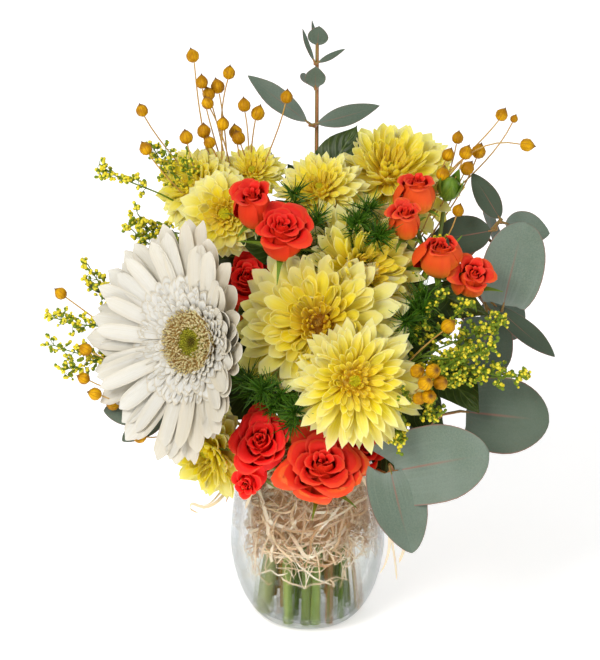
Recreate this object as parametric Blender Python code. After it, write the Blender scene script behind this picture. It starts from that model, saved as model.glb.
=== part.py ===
"""A mixed bouquet standing in a round clear glass vase.

Lengths are in millimetres until a mesh is made, which is in metres. +X is the viewer's right, +Y
points away from the viewer and +Z up. The origin is the middle of the vase's foot, on the table.
Each bloom, stem and spray is one solid. Its petals, leaves and buds are bent until they are clear
of every other solid, and one that finds no room is left out. Blooms and tufts are single skins
whose petals grow from their hearts. The leaves and twigs of a stem are joined by one Boolean union.
"""

import math
import random

import bmesh
import bpy
import numpy as np
from mathutils import Vector
from mathutils.bvhtree import BVHTree

MM = 0.001
GAP = 0.35  # clearance between two solids that meet
SEED = 11

# The vase: outer half-widths up its height, its wall and its thick floor.
VASE_OUTLINE = [(23.5, 0), (30, 6), (36.5, 19), (40.4, 38), (39.9, 56), (37.3, 76), (35, 92)]
VASE_HEIGHT = 92.0
VASE_WALL = 2.2
VASE_FLOOR = 7.0
VASE_SIDES = 22
WATER_LEVEL = 31.0
WATER_SIDES = 20

# The wood wool: a loose ring between the stems and the glass, heaped over the rim.
WOOL_BOTTOM = 40.0
WOOL_TOP = 95.0
WOOL_SIDES = 12
STEM_WELL = 21.0  # half-width of the space in the wool that the stems pass through
WOOL_STRANDS = 10
SPILLED_AT = (-150, -111, -64, -46, -28, -8, 12)  # turns of the strands that hang over the rim, in degrees

# Places are given as a viewer sees them who looks down on the bouquet by VIEW_TILT degrees:
# across to the right, up in the picture and towards the viewer, from the middle of the flowers.
VIEW_TILT = 25.0
FLOWERS_MIDDLE = Vector((0, 0, 163))

# Each bloom: the middle of its face, the way it faces (turned to the right of the viewer, tilted
# above the horizon, in degrees) and its half-width.
GERBERA = ((-59, -6, 50), -36, 19, 60)
MUMS = {
    "mum_front": ((24, -26, 74), 8, 24, 34),
    "mum_middle": ((5, 4, 52), -4, 32, 45),
    "mum_right": ((30, 31, 38), 32, 36, 37),
    "mum_upper_left": ((-43, 60, 34), -10, 26, 22),
    "mum_top": ((8, 75, 28), -8, 50, 27),
    "mum_top_right": ((43, 83, 2), 25, 62, 34),
    "mum_far_left": ((-60, 76, 8), -48, 38, 24),
    "mum_low_left": ((-50, -62, 20), -38, -22, 24),
    "mum_small_top": ((-29, 83, 2), -5, 68, 14),
    "mum_back": ((-6, 38, -46), 180, 34, 40),
}
ROSES = {
    "rose_front": ((8, -66, 50), 5, 32, 20),
    "rose_front_left": ((-25, -55, 48), -10, 24, 18),
    "rose_upper_middle": ((-13, 52, 56), 2, 46, 14.5),
    "rose_upper_left": ((-28, 63, 47), -12, 52, 11.5),
    "rose_behind_left": ((-29, 27, 50), -4, 42, 13),
    "rose_right_high": ((56, 70, 24), 12, 52, 11.5),
    "rose_right_small": ((49, 55, 36), 4, 46, 9),
    "rose_right": ((65, 38, 32), 8, 38, 13),
    "rose_right_outer": ((85, 27, 26), 24, 40, 12),
    "rose_low_bud": ((-33, -80, 36), -20, -14, 9.5),
    "rose_behind_right": ((31, -60, 34), 24, 20, 13),
    "rose_back_left": ((-48, 16, -36), -128, 28, 15),
    "rose_back_right": ((46, 8, -38), 138, 22, 15),
}
GREEN_BUD = ((72, 70, 8), 20, 60, 5.5)
BUD_SIZE = 12  # a rose of this half-width or less is a bud, with one layer of petals
SEPALLED = ("rose_front_left", "rose_upper_middle", "rose_right", "rose_right_outer", "rose_right_small")

# Plants with several blooms: the blooms on one stem, where it passes the vase's mouth, and its
# half-thickness. The first bloom is at the end of the stem and the others on side stems.
PLANTS = {
    "mum_stem_front": (("mum_middle", "mum_front", "mum_right"), (6, -9), 2.3),
    "mum_stem_top": (("mum_top", "mum_top_right"), (10, 9), 2.3),
    "mum_stem_left": (("mum_upper_left", "mum_far_left", "mum_small_top"), (-8, 4), 2.3),
    "mum_stem_low": (("mum_low_left",), (-12, -13), 2.0),
    "mum_stem_back": (("mum_back",), (6, 17), 2.3),
    "rose_stem_upper": (("rose_upper_middle", "rose_upper_left", "rose_behind_left"), (-4, -2), 1.9),
    "rose_stem_right": (
        ("rose_right", "rose_right_outer", "rose_right_small", "rose_right_high"), (17, 0), 1.9,
    ),
    "rose_stem_front": (
        ("rose_front", "rose_front_left", "rose_low_bud", "rose_behind_right"), (0, -17), 1.9,
    ),
    "rose_stem_back": (("rose_back_left", "rose_back_right"), (-6, 17), 1.9),
}

# Outlines of leaves and petals: (share of the length, share of the half-width), to the tip.
ROUND = [(0, 0.14), (0.22, 0.80), (0.55, 1.0), (0.85, 0.6), (1, 0)]
OVAL = [(0, 0.15), (0.35, 0.95), (0.75, 0.85), (1, 0)]
LONG = [(0, 0.15), (0.3, 0.85), (0.65, 1.0), (1, 0)]
POINTED = [(0, 0.12), (0.42, 1.0), (0.75, 0.6), (1, 0)]
RAY = [(-0.06, 0.35), (0.35, 0.8), (0.8, 1.0), (1, 0)]
SPIKE = [(-0.12, 0.4), (0.55, 1.0), (1, 0)]

# Leafy stems: where each passes the vase's mouth, where it ends and which way, its half-thickness,
# and its leaves (seen base, seen tip, way it faces, half-width, outline).
EUCALYPTUS = {
    "eucalyptus_top": ((2, 12), (5, 150, -18), (0.1, 0.25, 1), 1.6, [
        ((2, 107, -12), (-32, 132, -6), (10, 50), 6.5, LONG),
        ((2, 107, -12), (38, 116, -4), (-20, 55), 6.5, LONG),
        ((4, 126, -14), (4, 138, -2), (0, 40), 5.5, OVAL),
        ((4, 126, -14), (-2, 134, -30), (180, 40), 5.5, OVAL),
        ((4, 139, -16), (-4, 157, -14), (60, 20), 2.2, LONG),
        ((4, 139, -16), (20, 146, -14), (-20, 60), 2.2, LONG),
        ((5, 148, -18), (6, 159, -8), (0, 35), 5.5, OVAL),
        ((5, 148, -18), (2, 162, -20), (50, 20), 1.6, LONG),
        ((0, 70, -14), (-24, 92, -34), (200, 30), 9, OVAL),
        ((0, 70, -14), (30, 88, -40), (160, 30), 9, OVAL),
    ]),
    "eucalyptus_right": ((16, 9.5), (101, 58, 0), (0.2, 0.05, 1), 1.6, [
        ((95, 15, 2), (111, 56, 16), (12, 18), 16, ROUND),
        ((101, 56, 0), (86, 80, 0), (-10, 20), 6.5, OVAL),
        ((101, 56, 0), (125, 50, -14), (10, 40), 9, OVAL),
        ((97, 50, 0), (68, 46, 2), (0, 50), 10, OVAL),
        ((95, 15, 2), (126, -15, 12), (40, 60), 6.5, LONG),
        ((93, 10, 2), (91, -27, 2), (10, 15), 13, ROUND),
        ((90, 0, -4), (112, 10, -36), (120, 20), 13, OVAL),
        ((97, 45, -2), (92, 66, -30), (170, 20), 11, OVAL),
    ]),
    "eucalyptus_low": ((12.5, -13), (49, -79, 42), (0.1, -0.75, -0.6), 1.5, [
        ((49, -80, 43), (90, -56, 50), (12, 22), 16, ROUND),
        ((49, -80, 43), (46, -112, 50), (20, 20), 9.5, OVAL),
        ((60, -62, 22), (123, -43, 18), (18, 22), 18, ROUND),
        ((60, -62, 22), (58, -40, 10), (30, 10), 9, OVAL),
    ]),
    "eucalyptus_left": ((-16, 9.8), (-84, 16, 10), (-0.9, -0.1, 0.4), 1.4, [
        ((-84, 16, 10), (-116, 22, 4), (0, 75), 5, LONG),
        ((-74, 10, 8), (-70, 52, 6), (-10, 20), 8, OVAL),
        ((-80, 12, 8), (-100, 10, -26), (-100, 40), 10, OVAL),
        ((-70, 8, 6), (-72, -12, -24), (-110, 10), 11, OVAL),
        ((-66, 6, 4), (-64, 30, -26), (-130, 30), 11, OVAL),
    ]),
    "eucalyptus_low_left": ((-19, 1), (-80, -42, 12), (-0.9, -0.3, 0.1), 1.4, [
        ((-80, -42, 12), (-106, -42, 12), (-30, 30), 8, OVAL),
        ((-72, -40, 12), (-96, -58, 18), (-30, 20), 7, OVAL),
        ((-64, -38, 8), (-70, -52, -18), (-90, 10), 10, OVAL),
        ((-58, -36, 6), (-76, -24, -18), (-110, 20), 10, OVAL),
    ]),
}
BROAD_LEAVES = {
    "broad_leaves_top": ((-2.5, 7), (6, 78, 2), (0.1, 0.1, 1), 1.4, [
        ((4, 72, 2), (26, 106, -4), (-10, 45), 10, POINTED),
        ((2, 66, 0), (-18, 96, -22), (-150, 40), 10, POINTED),
        ((4, 60, -4), (30, 66, -36), (160, 30), 10, POINTED),
        ((2, 52, -6), (-32, 60, -34), (-160, 30), 10, POINTED),
    ]),
    "broad_leaves_right": ((16.5, -9.5), (66, -10, 24), (0.8, -0.4, 0.4), 1.4, [
        ((66, -10, 24), (94, 2, 28), (20, 40), 5, LONG),
        ((62, -12, 24), (84, -40, 34), (40, 40), 6.5, POINTED),
        ((58, -12, 22), (62, 16, 36), (20, 30), 9, POINTED),
        ((44, -16, 20), (46, -50, 26), (60, 10), 8, POINTED),
        ((40, -18, 20), (60, -46, 0), (100, 10), 8, POINTED),
    ]),
    "broad_leaves_back": ((0, 18.5), (4, -18, -46), (0, 0.9, 0.3), 1.4, [
        ((4, -18, -46), (4, 6, -66), (180, 50), 9, POINTED),
        ((4, -22, -42), (34, -10, -54), (160, 40), 9, POINTED),
        ((4, -22, -42), (-28, -14, -56), (-160, 40), 9, POINTED),
        ((3, -30, -36), (24, -46, -48), (160, 20), 9, POINTED),
        ((3, -30, -36), (-22, -46, -50), (-160, 20), 9, POINTED),
    ]),
}

# Sprays: where the stem passes the vase's mouth, where it ends, and the ends of its side twigs.
FLAX = {
    "flax_upper_left": ((-11.5, 13.5), (-40, 64, 0), [
        (-60, 143, -10), (-41, 134, -5), (-55, 129, 0), (-47, 127, -9), (-52, 118, 6), (-33, 117, 0),
        (-26, 113, -6), (-11, 121, 10), (-86, 114, 10), (-84, 94, 16), (-63, 100, 16), (-44, 107, 10),
        (-36, 100, 2),
    ]),
    "flax_lower_left": ((-17, -10), (-76, -22, 18), [
        (-128, 19, 22), (-115, -10, 32), (-116, -25, 28), (-110, -33, 36), (-101, -38, 24), (-87, -55, 36),
    ]),
    "flax_upper_right": ((10.5, 2.5), (62, 62, 4), [
        (101, 112, 0), (109, 110, -6), (114, 96, 5), (78, 100, 0), (73, 91, 6), (82, 92, 13), (89, 93, 0),
        (83, 84, 8), (70, 81, 16), (78, 62, 16),
    ]),
    "flax_right": ((19, 4.5), (48, -22, 44), [
        (72, 2, 62), (53, -22, 70), (62, -21, 72), (58, -29, 78), (61, -36, 70), (68, -26, 64),
    ]),
}
SOLIDAGO = {
    "goldenrod_upper_left": ((-13, 8), (-64, 66, 6), [(-108, 86, 12), (-80, 94, 0), (-90, 56, 14)]),
    "goldenrod_left": ((-18.5, 5), (-92, 2, 16), [(-130, 6, 22), (-126, -20, 24), (-114, 34, 16)]),
    "goldenrod_right": ((19, -4.5), (58, -12, 46), [
        (110, -24, 42), (98, 6, 44), (94, -8, 58), (78, -26, 52), (66, -44, 54), (46, -58, 62),
    ]),
}
ASPARAGUS = {
    "asparagus_upper": ((3, 1), (18, 48, 22), [
        (32, 62, 38), (38, 49, 42), (25, 55, 42), (5, 58, 44), (-3, 46, 46),
    ]),
    "asparagus_low": ((-6.5, -13), (-16, -34, 44), [(-23, -30, 62), (-6, -42, 60)]),
    "asparagus_right": ((14, -5), (52, 10, 32), [(60, 18, 46), (51, 5, 50)]),
}
LEAF_LEANS = (0, 0.15, -0.15, 0.3, -0.3, 0.5, -0.5, 0.75, -0.75)
LEAF_SWINGS = [(lean, roll) for roll in (0, 0.3, -0.3) for lean in LEAF_LEANS]
LEAF_ROOT = 0.8  # half-width of a leaf where it leaves its stem
POD = 3.8  # half-width of a flax pod
POD_SIDES = 6  # twice a twig's
FLORET = 2.1  # half-width of a goldenrod floret, larger than life so that it holds
FLORETS = 5
TWIG = 0.75  # half-thickness of a goldenrod twig
NEEDLE = 10.0  # length of an asparagus needle
TUFT_HEART = [(0.9, 0.2), (1.5, 0.9), (1.6, 1.7), (1.3, 2.5), (0.7, 3.1)]


def seen(across, up, towards):
    """The point that lies there for the viewer, in millimetres from the vase's foot."""
    tilt = math.radians(VIEW_TILT)
    rise = Vector((0, math.sin(tilt), math.cos(tilt)))
    near = Vector((0, -math.cos(tilt), math.sin(tilt)))
    return FLOWERS_MIDDLE + Vector((across, 0, 0)) + up * rise + towards * near


def facing(turn, tilt):
    """The unit vector turned to the right of the viewer and tilted above the horizon."""
    turn, tilt = math.radians(turn), math.radians(tilt)
    return Vector((math.sin(turn) * math.cos(tilt), -math.cos(turn) * math.cos(tilt), math.sin(tilt)))


def across_of(axis):
    """Two unit vectors that make a right-handed frame with the axis."""
    first = axis.cross(Vector((0, 0, 1)))
    if first.length < 0.05:
        first = axis.cross(Vector((0, 1, 0)))
    first.normalize()
    return first, axis.cross(first).normalized()


def turns_of(sides, start=0.0):
    return [start + 2 * math.pi * k / sides for k in range(sides)]


def clear_scene():
    for old in list(bpy.data.objects):
        bpy.data.objects.remove(old)


def material(name, colour, roughness, alpha=1.0, transmission=0.0):
    made = bpy.data.materials.new(name)
    made.use_nodes = True
    shader = made.node_tree.nodes["Principled BSDF"]
    shader.inputs["Base Color"].default_value = (*colour, 1)
    shader.inputs["Roughness"].default_value = roughness
    shader.inputs["Metallic"].default_value = 0
    shader.inputs["Alpha"].default_value = alpha
    shader.inputs["Transmission Weight"].default_value = transmission
    return made


# Skins: a skin is a list of points and a list of faces that close a body


class Skin:
    """A body built from loops of points. All its faces wind the same way, and done() turns them out."""

    def __init__(self):
        self.points = []
        self.faces = []

    def loop(self, ring):
        """Adds a ring of points and returns their numbers."""
        self.points += ring
        return list(range(len(self.points) - len(ring), len(self.points)))

    def bridge(self, low, high):
        """Joins two loops. The second may have twice as many points. Between loops of the same
        size the diagonals run alike on both faces of a blade, whose loops go edge, top, edge, back."""
        size = len(low)
        for k in range(size):
            a, b = low[k], low[(k + 1) % size]
            if len(high) == size:
                c, d = high[(k + 1) % size], high[k]
                self.faces += [(a, b, d), (b, c, d)] if k % 2 else [(a, b, c), (a, c, d)]
            else:
                c, d, e = high[2 * k], high[2 * k + 1], high[(2 * k + 2) % (2 * size)]
                self.faces += [(a, d, c), (a, b, d), (b, e, d)]

    def close(self, loop, whole=False):
        """A flat cap that winds like the loop, in triangles or whole."""
        self.faces += [tuple(loop)] if whole else [(loop[0], a, b) for a, b in zip(loop[1:], loop[2:])]

    def tip(self, loop, point):
        """Draws a loop to a point."""
        self.points.append(point)
        last = len(self.points) - 1
        self.faces += [(a, b, last) for a, b in zip(loop, loop[1:] + loop[:1])]

    def done(self):
        volume = 0
        for face in self.faces:
            first, *rest = [self.points[k] for k in face]
            volume += sum(first.dot(a.cross(b)) for a, b in zip(rest, rest[1:]))
        return self.points, self.faces if volume > 0 else [face[::-1] for face in self.faces]


def loft(rings, tip=None):
    """The closed skin over rings of points. It ends flat, or at a tip."""
    skin = Skin()
    loops = [skin.loop(ring) for ring in rings]
    skin.close(loops[0][::-1])
    for low, high in zip(loops, loops[1:]):
        skin.bridge(low, high)
    if tip is None:
        skin.close(loops[-1])
    else:
        skin.tip(loops[-1], tip)
    return skin.done()


def ring_at(middle, axis, width, sides, start=0.0):
    first, second = across_of(axis)
    return [middle + width * (math.cos(t) * first + math.sin(t) * second) for t in turns_of(sides, start)]


def stem_rings(path, radii, sides):
    """The rings of a round stem along a path, its frame carried along without twist. sides is one
    number, or one for each ring."""
    sides = [sides] * len(path) if isinstance(sides, int) else sides
    rings, side = [], None
    for k, point in enumerate(path):
        ahead = (path[min(k + 1, len(path) - 1)] - path[max(k - 1, 0)]).normalized()
        side = across_of(ahead)[0] if side is None else (side - ahead * side.dot(ahead)).normalized()
        other = ahead.cross(side)
        spokes = [math.cos(t) * side + math.sin(t) * other for t in turns_of(sides[k])]
        rings.append([point + radii[k] * spoke for spoke in spokes])
    return rings


def tube(path, radii, sides, tip=None):
    return loft(stem_rings(path, radii, sides), tip)


def blade_rings(root, heading, face, length, half_width, depth, bend, outline, cup=0.0, grow=0.0):
    """The rings and the tip of a petal or leaf that starts at root along heading and bends towards
    its face by bend degrees. Its edges are raised by cup times the half-width. grow thickens it."""
    side = heading.cross(face).normalized()
    face = side.cross(heading).normalized()
    turn = math.radians(bend)
    rings = []
    for share, width in outline:
        angle = turn * max(share, 0)
        if angle == 0:
            middle = root + heading * length * share
        else:
            radius = (length + grow) / turn
            middle = root + heading * radius * math.sin(angle) + face * radius * (1 - math.cos(angle))
        up = face * math.cos(angle) - heading * math.sin(angle)
        if width == 0:
            return rings, middle
        reach = side * (half_width * width + grow)
        edge = middle + up * cup * half_width * width
        half = depth / 2 + grow
        rings.append([edge + reach, middle + up * half, edge - reach, middle - up * half])
    return rings, None


# What already stands


def inside(tree, point):
    """True where a ray from the point leaves the body an odd number of times."""
    ahead, crossings = Vector((0.31, 0.17, 0.93)).normalized(), 0
    spot = tree.ray_cast(point, ahead)[0]
    while spot is not None:
        crossings += 1
        spot = tree.ray_cast(spot + ahead * 1e-3, ahead)[0]
    return crossings % 2 == 1


class Standing:
    """Every skin placed so far, so that the next one can be set clear of it."""

    def __init__(self):
        self.placed = []
        self.lows = np.zeros((0, 3))
        self.highs = np.zeros((0, 3))

    def add(self, node, skin):
        spots = np.array([tuple(p) for p in skin[0]])
        tree = BVHTree.FromPolygons([tuple(p) for p in skin[0]], skin[1])
        self.placed.append((node, tree, Vector(skin[0][0])))
        self.lows = np.vstack([self.lows, spots.min(0)])
        self.highs = np.vstack([self.highs, spots.max(0)])

    def clear(self, node, skin):
        """True where the skin meets nothing of another node."""
        points, faces = skin
        spots = np.array([tuple(p) for p in points])
        low, high = spots.min(0), spots.max(0)
        near = np.all((self.lows < high) & (self.highs > low), axis=1)
        tree = BVHTree.FromPolygons([tuple(p) for p in points], faces) if near.any() else None
        for index in np.flatnonzero(near):
            other, other_tree, corner = self.placed[index]
            if other == node:
                continue
            if tree.overlap(other_tree):
                return False
            held = np.all(self.lows[index] > low) and np.all(self.highs[index] < high)
            holds = np.all(self.lows[index] < low) and np.all(self.highs[index] > high)
            if held and inside(tree, corner) or holds and inside(other_tree, points[0]):
                return False
        return True


STANDING = Standing()
WALLS = []  # what a stem keeps clear of: (start, end, half-thickness, owner)
NODES = {}  # node name to its material and its skins, the first of which carries the rest
STEMS_IN_WATER = []  # (path, half-thickness, sides) of each stem that stands in the vase


def put(node, skin, finish=None):
    """Adds a skin to a node."""
    STANDING.add(node, skin)
    if node not in NODES:
        NODES[node] = (finish, [])
    NODES[node][1].append(skin)


def try_put(node, shape, swings):
    """Adds the first of a shape's swings that is clear when grown by the gap."""
    for swing in swings:
        if STANDING.clear(node, shape(swing, GAP)):
            put(node, shape(swing, 0.0))
            return True
    return False


# Stems


def vase_inner(height):
    """Half-width of the vase's hollow at a height."""
    heights = [h for _, h in VASE_OUTLINE]
    widths = [w for w, _ in VASE_OUTLINE]
    return float(np.interp(height, heights, widths)) - VASE_WALL


def pushes(spots, walls, reach):
    """How far each point of a path has to move to get its segments clear of the walls."""
    starts = np.array([tuple(wall[0]) for wall in walls])
    runs = np.array([tuple(wall[1] - wall[0]) for wall in walls])
    thick = np.array([wall[2] for wall in walls]) + reach
    shares = np.linspace(0, 1, 5)[:, None, None]
    offsets = (spots[:-1] * (1 - shares) + spots[1:] * shares)[:, :, None, :] - starts
    along = np.clip((offsets * runs).sum(-1) / (runs**2).sum(-1), 0, 1)
    away = offsets - along[..., None] * runs
    distance = np.linalg.norm(away, axis=-1) + 1e-6
    short = np.clip(thick - distance, 0, None) / distance
    moves = (away * short[..., None]).sum(2)
    result = np.zeros_like(spots)
    result[:-1] += (moves * (1 - shares)).sum(0)
    result[1:] += (moves * shares).sum(0)
    return result


def lean_clear(path, radius, owners, in_vase, spare):
    """The path pushed clear of the walls of other owners. Its last point stays, and so does its
    first or, of a stem in the vase, the heights of its first three."""
    walls = [wall for wall in WALLS if wall[3] not in owners]
    spots = np.array([tuple(p) for p in path])
    kept = spots.copy()
    for _ in range(60):
        moves = pushes(spots, walls, radius + spare) * 0.35
        spots = spots + np.clip(moves, -3, 3)
        first = 3 if in_vase else 1
        spots[first:-1] = spots[first:-1] * 0.84 + (spots[first - 1 : -2] + spots[first + 1 :]) * 0.08
        spots[-1] = kept[-1]
        if in_vase:
            spots[:3, 2] = kept[:3, 2]
            flat = np.linalg.norm(spots[:3, :2], axis=1)
            spots[:3, :2] *= np.minimum(1, (STEM_WELL - radius - 0.4) / flat)[:, None]
        else:
            spots[0] = kept[0]
    return [Vector(spot) for spot in spots]


def along(path, place):
    """The point at a place on a path, counted in its points."""
    low = min(int(place), len(path) - 2)
    return path[low].lerp(path[low + 1], place - low)


def bent(start, end, leave, arrive, steps):
    """Points on one smooth curve that leaves and arrives along two directions."""
    reach = (end - start).length / 3
    first, second = start + leave * reach, end - arrive * reach
    curve = []
    for k in range(steps + 1):
        t = k / steps
        s = 1 - t
        curve.append(start * s**3 + first * 3 * t * s**2 + second * 3 * t**2 * s + end * t**3)
    return curve


def find_way(node, path, radii, owners, luck, in_vase=False, spare=1.0):
    """A way near the path that is clear for a stem, each try bowed further. Where there is none, a
    stem in the vase takes the last one tried and another gets None."""
    for attempt in range(40 if in_vase else 12):
        bow = Vector([luck.uniform(-1, 1) for _ in range(3)]) * attempt * (0.8 if in_vase else 2)
        trial = [p + bow * math.sin(math.pi * k / (len(path) - 1)) for k, p in enumerate(path)]
        trial = lean_clear(trial, max(radii), (node, *owners), in_vase, spare)
        if STANDING.clear(node, tube(trial, [radius + GAP for radius in radii], 5)):
            break
    else:
        if not in_vase:
            return None
    WALLS.extend((trial[k], trial[k + 1], max(radii), node) for k in range(len(trial) - 1))
    return trial


def main_path(node, mouth, end, arrive, radius, luck, bloom=""):
    """The way of a stem from the vase's floor through its mouth to a bloom or a fork."""
    foot = Vector((mouth[0] * 0.95, mouth[1] * 0.95, VASE_FLOOR + 1.2))
    neck = Vector((*mouth, VASE_HEIGHT))
    leave = (neck - foot).normalized()
    path = [foot, foot.lerp(neck, 0.5), *bent(neck, end, leave, arrive, 4)]
    return find_way(node, path, [radius] * len(path), (bloom,), luck, in_vase=True)


def main_stem(node, mouth, end, arrive, radius, finish, luck, thin=0.75, sides=5):
    path = main_path(node, mouth, end, arrive, radius, luck)
    radii = [radius * (1 + (thin - 1) * k / (len(path) - 1)) for k in range(len(path))]
    put(node, tube(path, radii, sides), finish)
    STEMS_IN_WATER.append((path, radius, sides))
    return path


# Blooms

CUPS = {"mum": (0.22, 5.0), "rose": (0.30, 4.0)}  # half-width as a share of the bloom's, height
GERBERA_CUP = (11.0, 9.0)
GERBERA_MOUTH = (-14.5, -4.5)  # where the gerbera's stem passes the vase's mouth
GERBERA_STEM = 3.3  # its half-thickness
MUM_HEART = [(0.20, 0), (0.26, 0.06), (0.27, 0.13), (0.24, 0.20), (0.17, 0.26), (0.08, 0.30)]
MUM_PEAK = 0.31
MUM_PETALS = (
    # angle from the axis, length and half-width as shares of the bloom's half-width, bend
    (94, 0.76, 0.155, 16),
    (75, 0.66, 0.145, 22),
    (53, 0.50, 0.120, 24),
    (28, 0.34, 0.090, 22),
)
SMALL_MUM = 25  # a chrysanthemum of this half-width or less has one ring of petals fewer
GERBERA_HEART = [(12, 0), (16, 1.4), (16.5, 3.1), (16.4, 4.7), (15.3, 6.0)]
GERBERA_HIGH = 6.0
GERBERA_DISC = 14.0
GERBERA_PETALS = (
    # lift from the disc's plane, length less than the bloom's half-width, half-width, outline, bend
    (13, 14, 5.8, RAY, 5),
    (25, 17, 5.4, RAY, 3),
    (43, 46, 2.6, SPIKE, 12),
)
ROSE_HEART = [(0.26, 0), (0.44, 0.10), (0.47, 0.26), (0.36, 0.50)]
ROSE_PEAK = 0.90
ROSE_PETALS = (
    # half-width at the belly and at the rim, height of the rim
    (0.88, 1.03, 0.84),
    (0.66, 0.60, 0.95),
)
BUD_HEART = [(0.30, 0), (0.50, 0.20), (0.42, 0.48)]
BUD_PETALS = ((0.78, 0.76, 0.9),)
ROSE_OVERLAP = 0.17  # radians by which a rim passes its neighbour's, and a belly stays short of it
PETAL_THICK = 1.1


def rose_height(radius):
    return 1.25 * radius + 5


def bloom_of(bloom):
    """The middle of a bloom's underside, the way it faces and its half-width."""
    at, turn, tilt, radius = MUMS.get(bloom) or ROSES.get(bloom) or GERBERA
    axis = facing(turn, tilt)
    if bloom in MUMS:
        high = radius * MUM_HEART[-1][1]
    else:
        high = rose_height(radius) if bloom in ROSES else GERBERA_HIGH
    return seen(*at) - axis * high, axis, radius


def lattice(rings, peak, petals, stem=()):
    """The skin of a bloom. Its heart is a lattice of diamonds over staggered rings of points, drawn
    to a peak. petals maps a diamond's row and place to the rings and the tip that grow from it, and
    stem holds rings that carry on below."""
    skin = Skin()
    loops = [skin.loop(ring) for ring in rings]
    size = len(rings[0])
    for k in range(size):
        after = (k + 1) % size
        skin.faces.append((loops[0][k], loops[1][k], loops[0][after]))
        skin.faces.append((loops[-1][k], loops[-1][after], loops[-2][after]))
        for row in range(1, len(rings) - 1):
            cell = [loops[row][k], loops[row + 1][k], loops[row][after], loops[row - 1][after]]
            grown, tip = petals.get((row, k), ((), None))
            for ring in grown:
                cell, low = skin.loop(ring), cell
                skin.bridge(low, cell)
            if tip is None:
                skin.close(cell[1:] + cell[:1])
            else:
                skin.tip(cell, tip)
    last = loops[0]
    for ring in stem:
        last, above = skin.loop(ring), last
        skin.bridge(above, last)
    skin.close(last)
    skin.tip(loops[-1][::-1], peak)
    return skin.done()


def heart_rings(base, axis, outline, count, wide=1.0, high=1.0, start=0.0):
    rings = []
    for row, (width, height) in enumerate(outline):
        turn = start + row * math.pi / count
        rings.append(ring_at(base + axis * height * high, axis, width * wide, count, turn))
    return rings


def cells_of(rings, axis, base):
    """Each diamond of a lattice: its row and place, its corners, its middle and the way out from it."""
    size = len(rings[0])
    for row in range(1, len(rings) - 1):
        for k in range(size):
            after = (k + 1) % size
            corners = [rings[row][k], rings[row + 1][k], rings[row][after], rings[row - 1][after]]
            middle = sum(corners, Vector()) / 4
            out = middle - base - axis * (middle - base).dot(axis)
            yield row, k, corners, middle, out.normalized()


def grow_petals(bloom, rings, axis, base, petal_of):
    """The petals of a bloom, its outer row first. petal_of(row, middle, out) returns the petal's
    maker and its swings, and the first swing that is clear of all else is taken."""
    petals, siblings = {}, Standing()
    for row, k, corners, middle, out in cells_of(rings, axis, base):
        shape, swings = petal_of(row, middle, out)
        for swing in swings:
            grown, tip = shape(swing, 0.0)
            fat, fat_tip = shape(swing, GAP)
            neck = [corner.lerp(point, 0.3) for corner, point in zip(corners, grown[0])]
            slim = loft([neck, *grown], tip)
            if siblings.clear("", slim) and STANDING.clear(bloom, loft([corners, *fat], fat_tip)):
                siblings.add(bloom, slim)
                STANDING.add(bloom, loft([corners, *grown], tip))
                petals[row, k] = grown, tip
                break
    return petals


HEARTS = {}  # bloom to its heart's rings, peak and material


def set_heart(bloom, finish):
    """Places the heart of a bloom, before its stem and its petals."""
    base, axis, radius = bloom_of(bloom)
    if bloom in MUMS:
        outline = MUM_HEART if radius > SMALL_MUM else MUM_HEART[:2] + MUM_HEART[3:]
        rings = heart_rings(base, axis, outline, 8 if radius > SMALL_MUM else 7, radius, radius)
        peak, reach = radius * MUM_PEAK, [(3, 0.27 * radius + 3)]
    elif bloom in ROSES:
        tall, bud = rose_height(radius), radius <= BUD_SIZE
        outline, count = (BUD_HEART, 4) if bud else (ROSE_HEART, 5)
        rings = heart_rings(base, axis, outline, count, radius, tall, radius)
        peak, reach = tall * ROSE_PEAK, [(tall * 0.62, radius * 0.85 + 1), (tall * 0.25, radius * 0.5 + 1)]
    else:
        rings = heart_rings(base, axis, GERBERA_HEART, 16)
        peak, reach = GERBERA_HIGH, [(3, 18.5)]
    HEARTS[bloom] = rings, base + axis * peak, finish
    STANDING.add(bloom, lattice(rings, base + axis * peak, {}))
    for height, wide in reach:
        WALLS.append((base + axis * height, base + axis * (height + 0.1), wide, bloom))
    if bloom != "gerbera_rays":
        share, high = CUPS[bloom.split("_")[0]]
        WALLS.append((base - axis * high, base, radius * share + 1, bloom))


def finish_bloom(bloom, petals):
    rings, peak, finish = HEARTS[bloom]
    NODES[bloom] = (finish, [lattice(rings, peak, petals)])


def mum(bloom, luck):
    """A chrysanthemum: its cupped petals in rings, each bent clear of what stands."""
    base, axis, radius = bloom_of(bloom)
    leans = (0, 0.15, -0.15, 0.3, -0.3, 0.5, -0.5, 0.8)
    swings = [(lean, share) for share in (1, 0.85, 0.65) for lean in leans]
    rows = MUM_PETALS if radius > SMALL_MUM else (MUM_PETALS[0], MUM_PETALS[1], MUM_PETALS[3])

    def petal_of(row, middle, out):
        angle, length, width, bend = rows[row - 1]
        tilt = math.radians(angle + luck.uniform(-5, 5))
        reach = radius * length * luck.uniform(0.92, 1.06)
        half = radius * width

        def shape(swing, grow):
            lean, share = swing
            heading = axis * math.cos(tilt + lean) + out * math.sin(tilt + lean)
            face = axis * math.sin(tilt + lean) - out * math.cos(tilt + lean)
            return blade_rings(middle, heading, face, reach * share, half, 1.3, bend, SPIKE[1:], 0.3, grow)

        return shape, swings

    finish_bloom(bloom, grow_petals(bloom, HEARTS[bloom][0], axis, base, petal_of))


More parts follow.
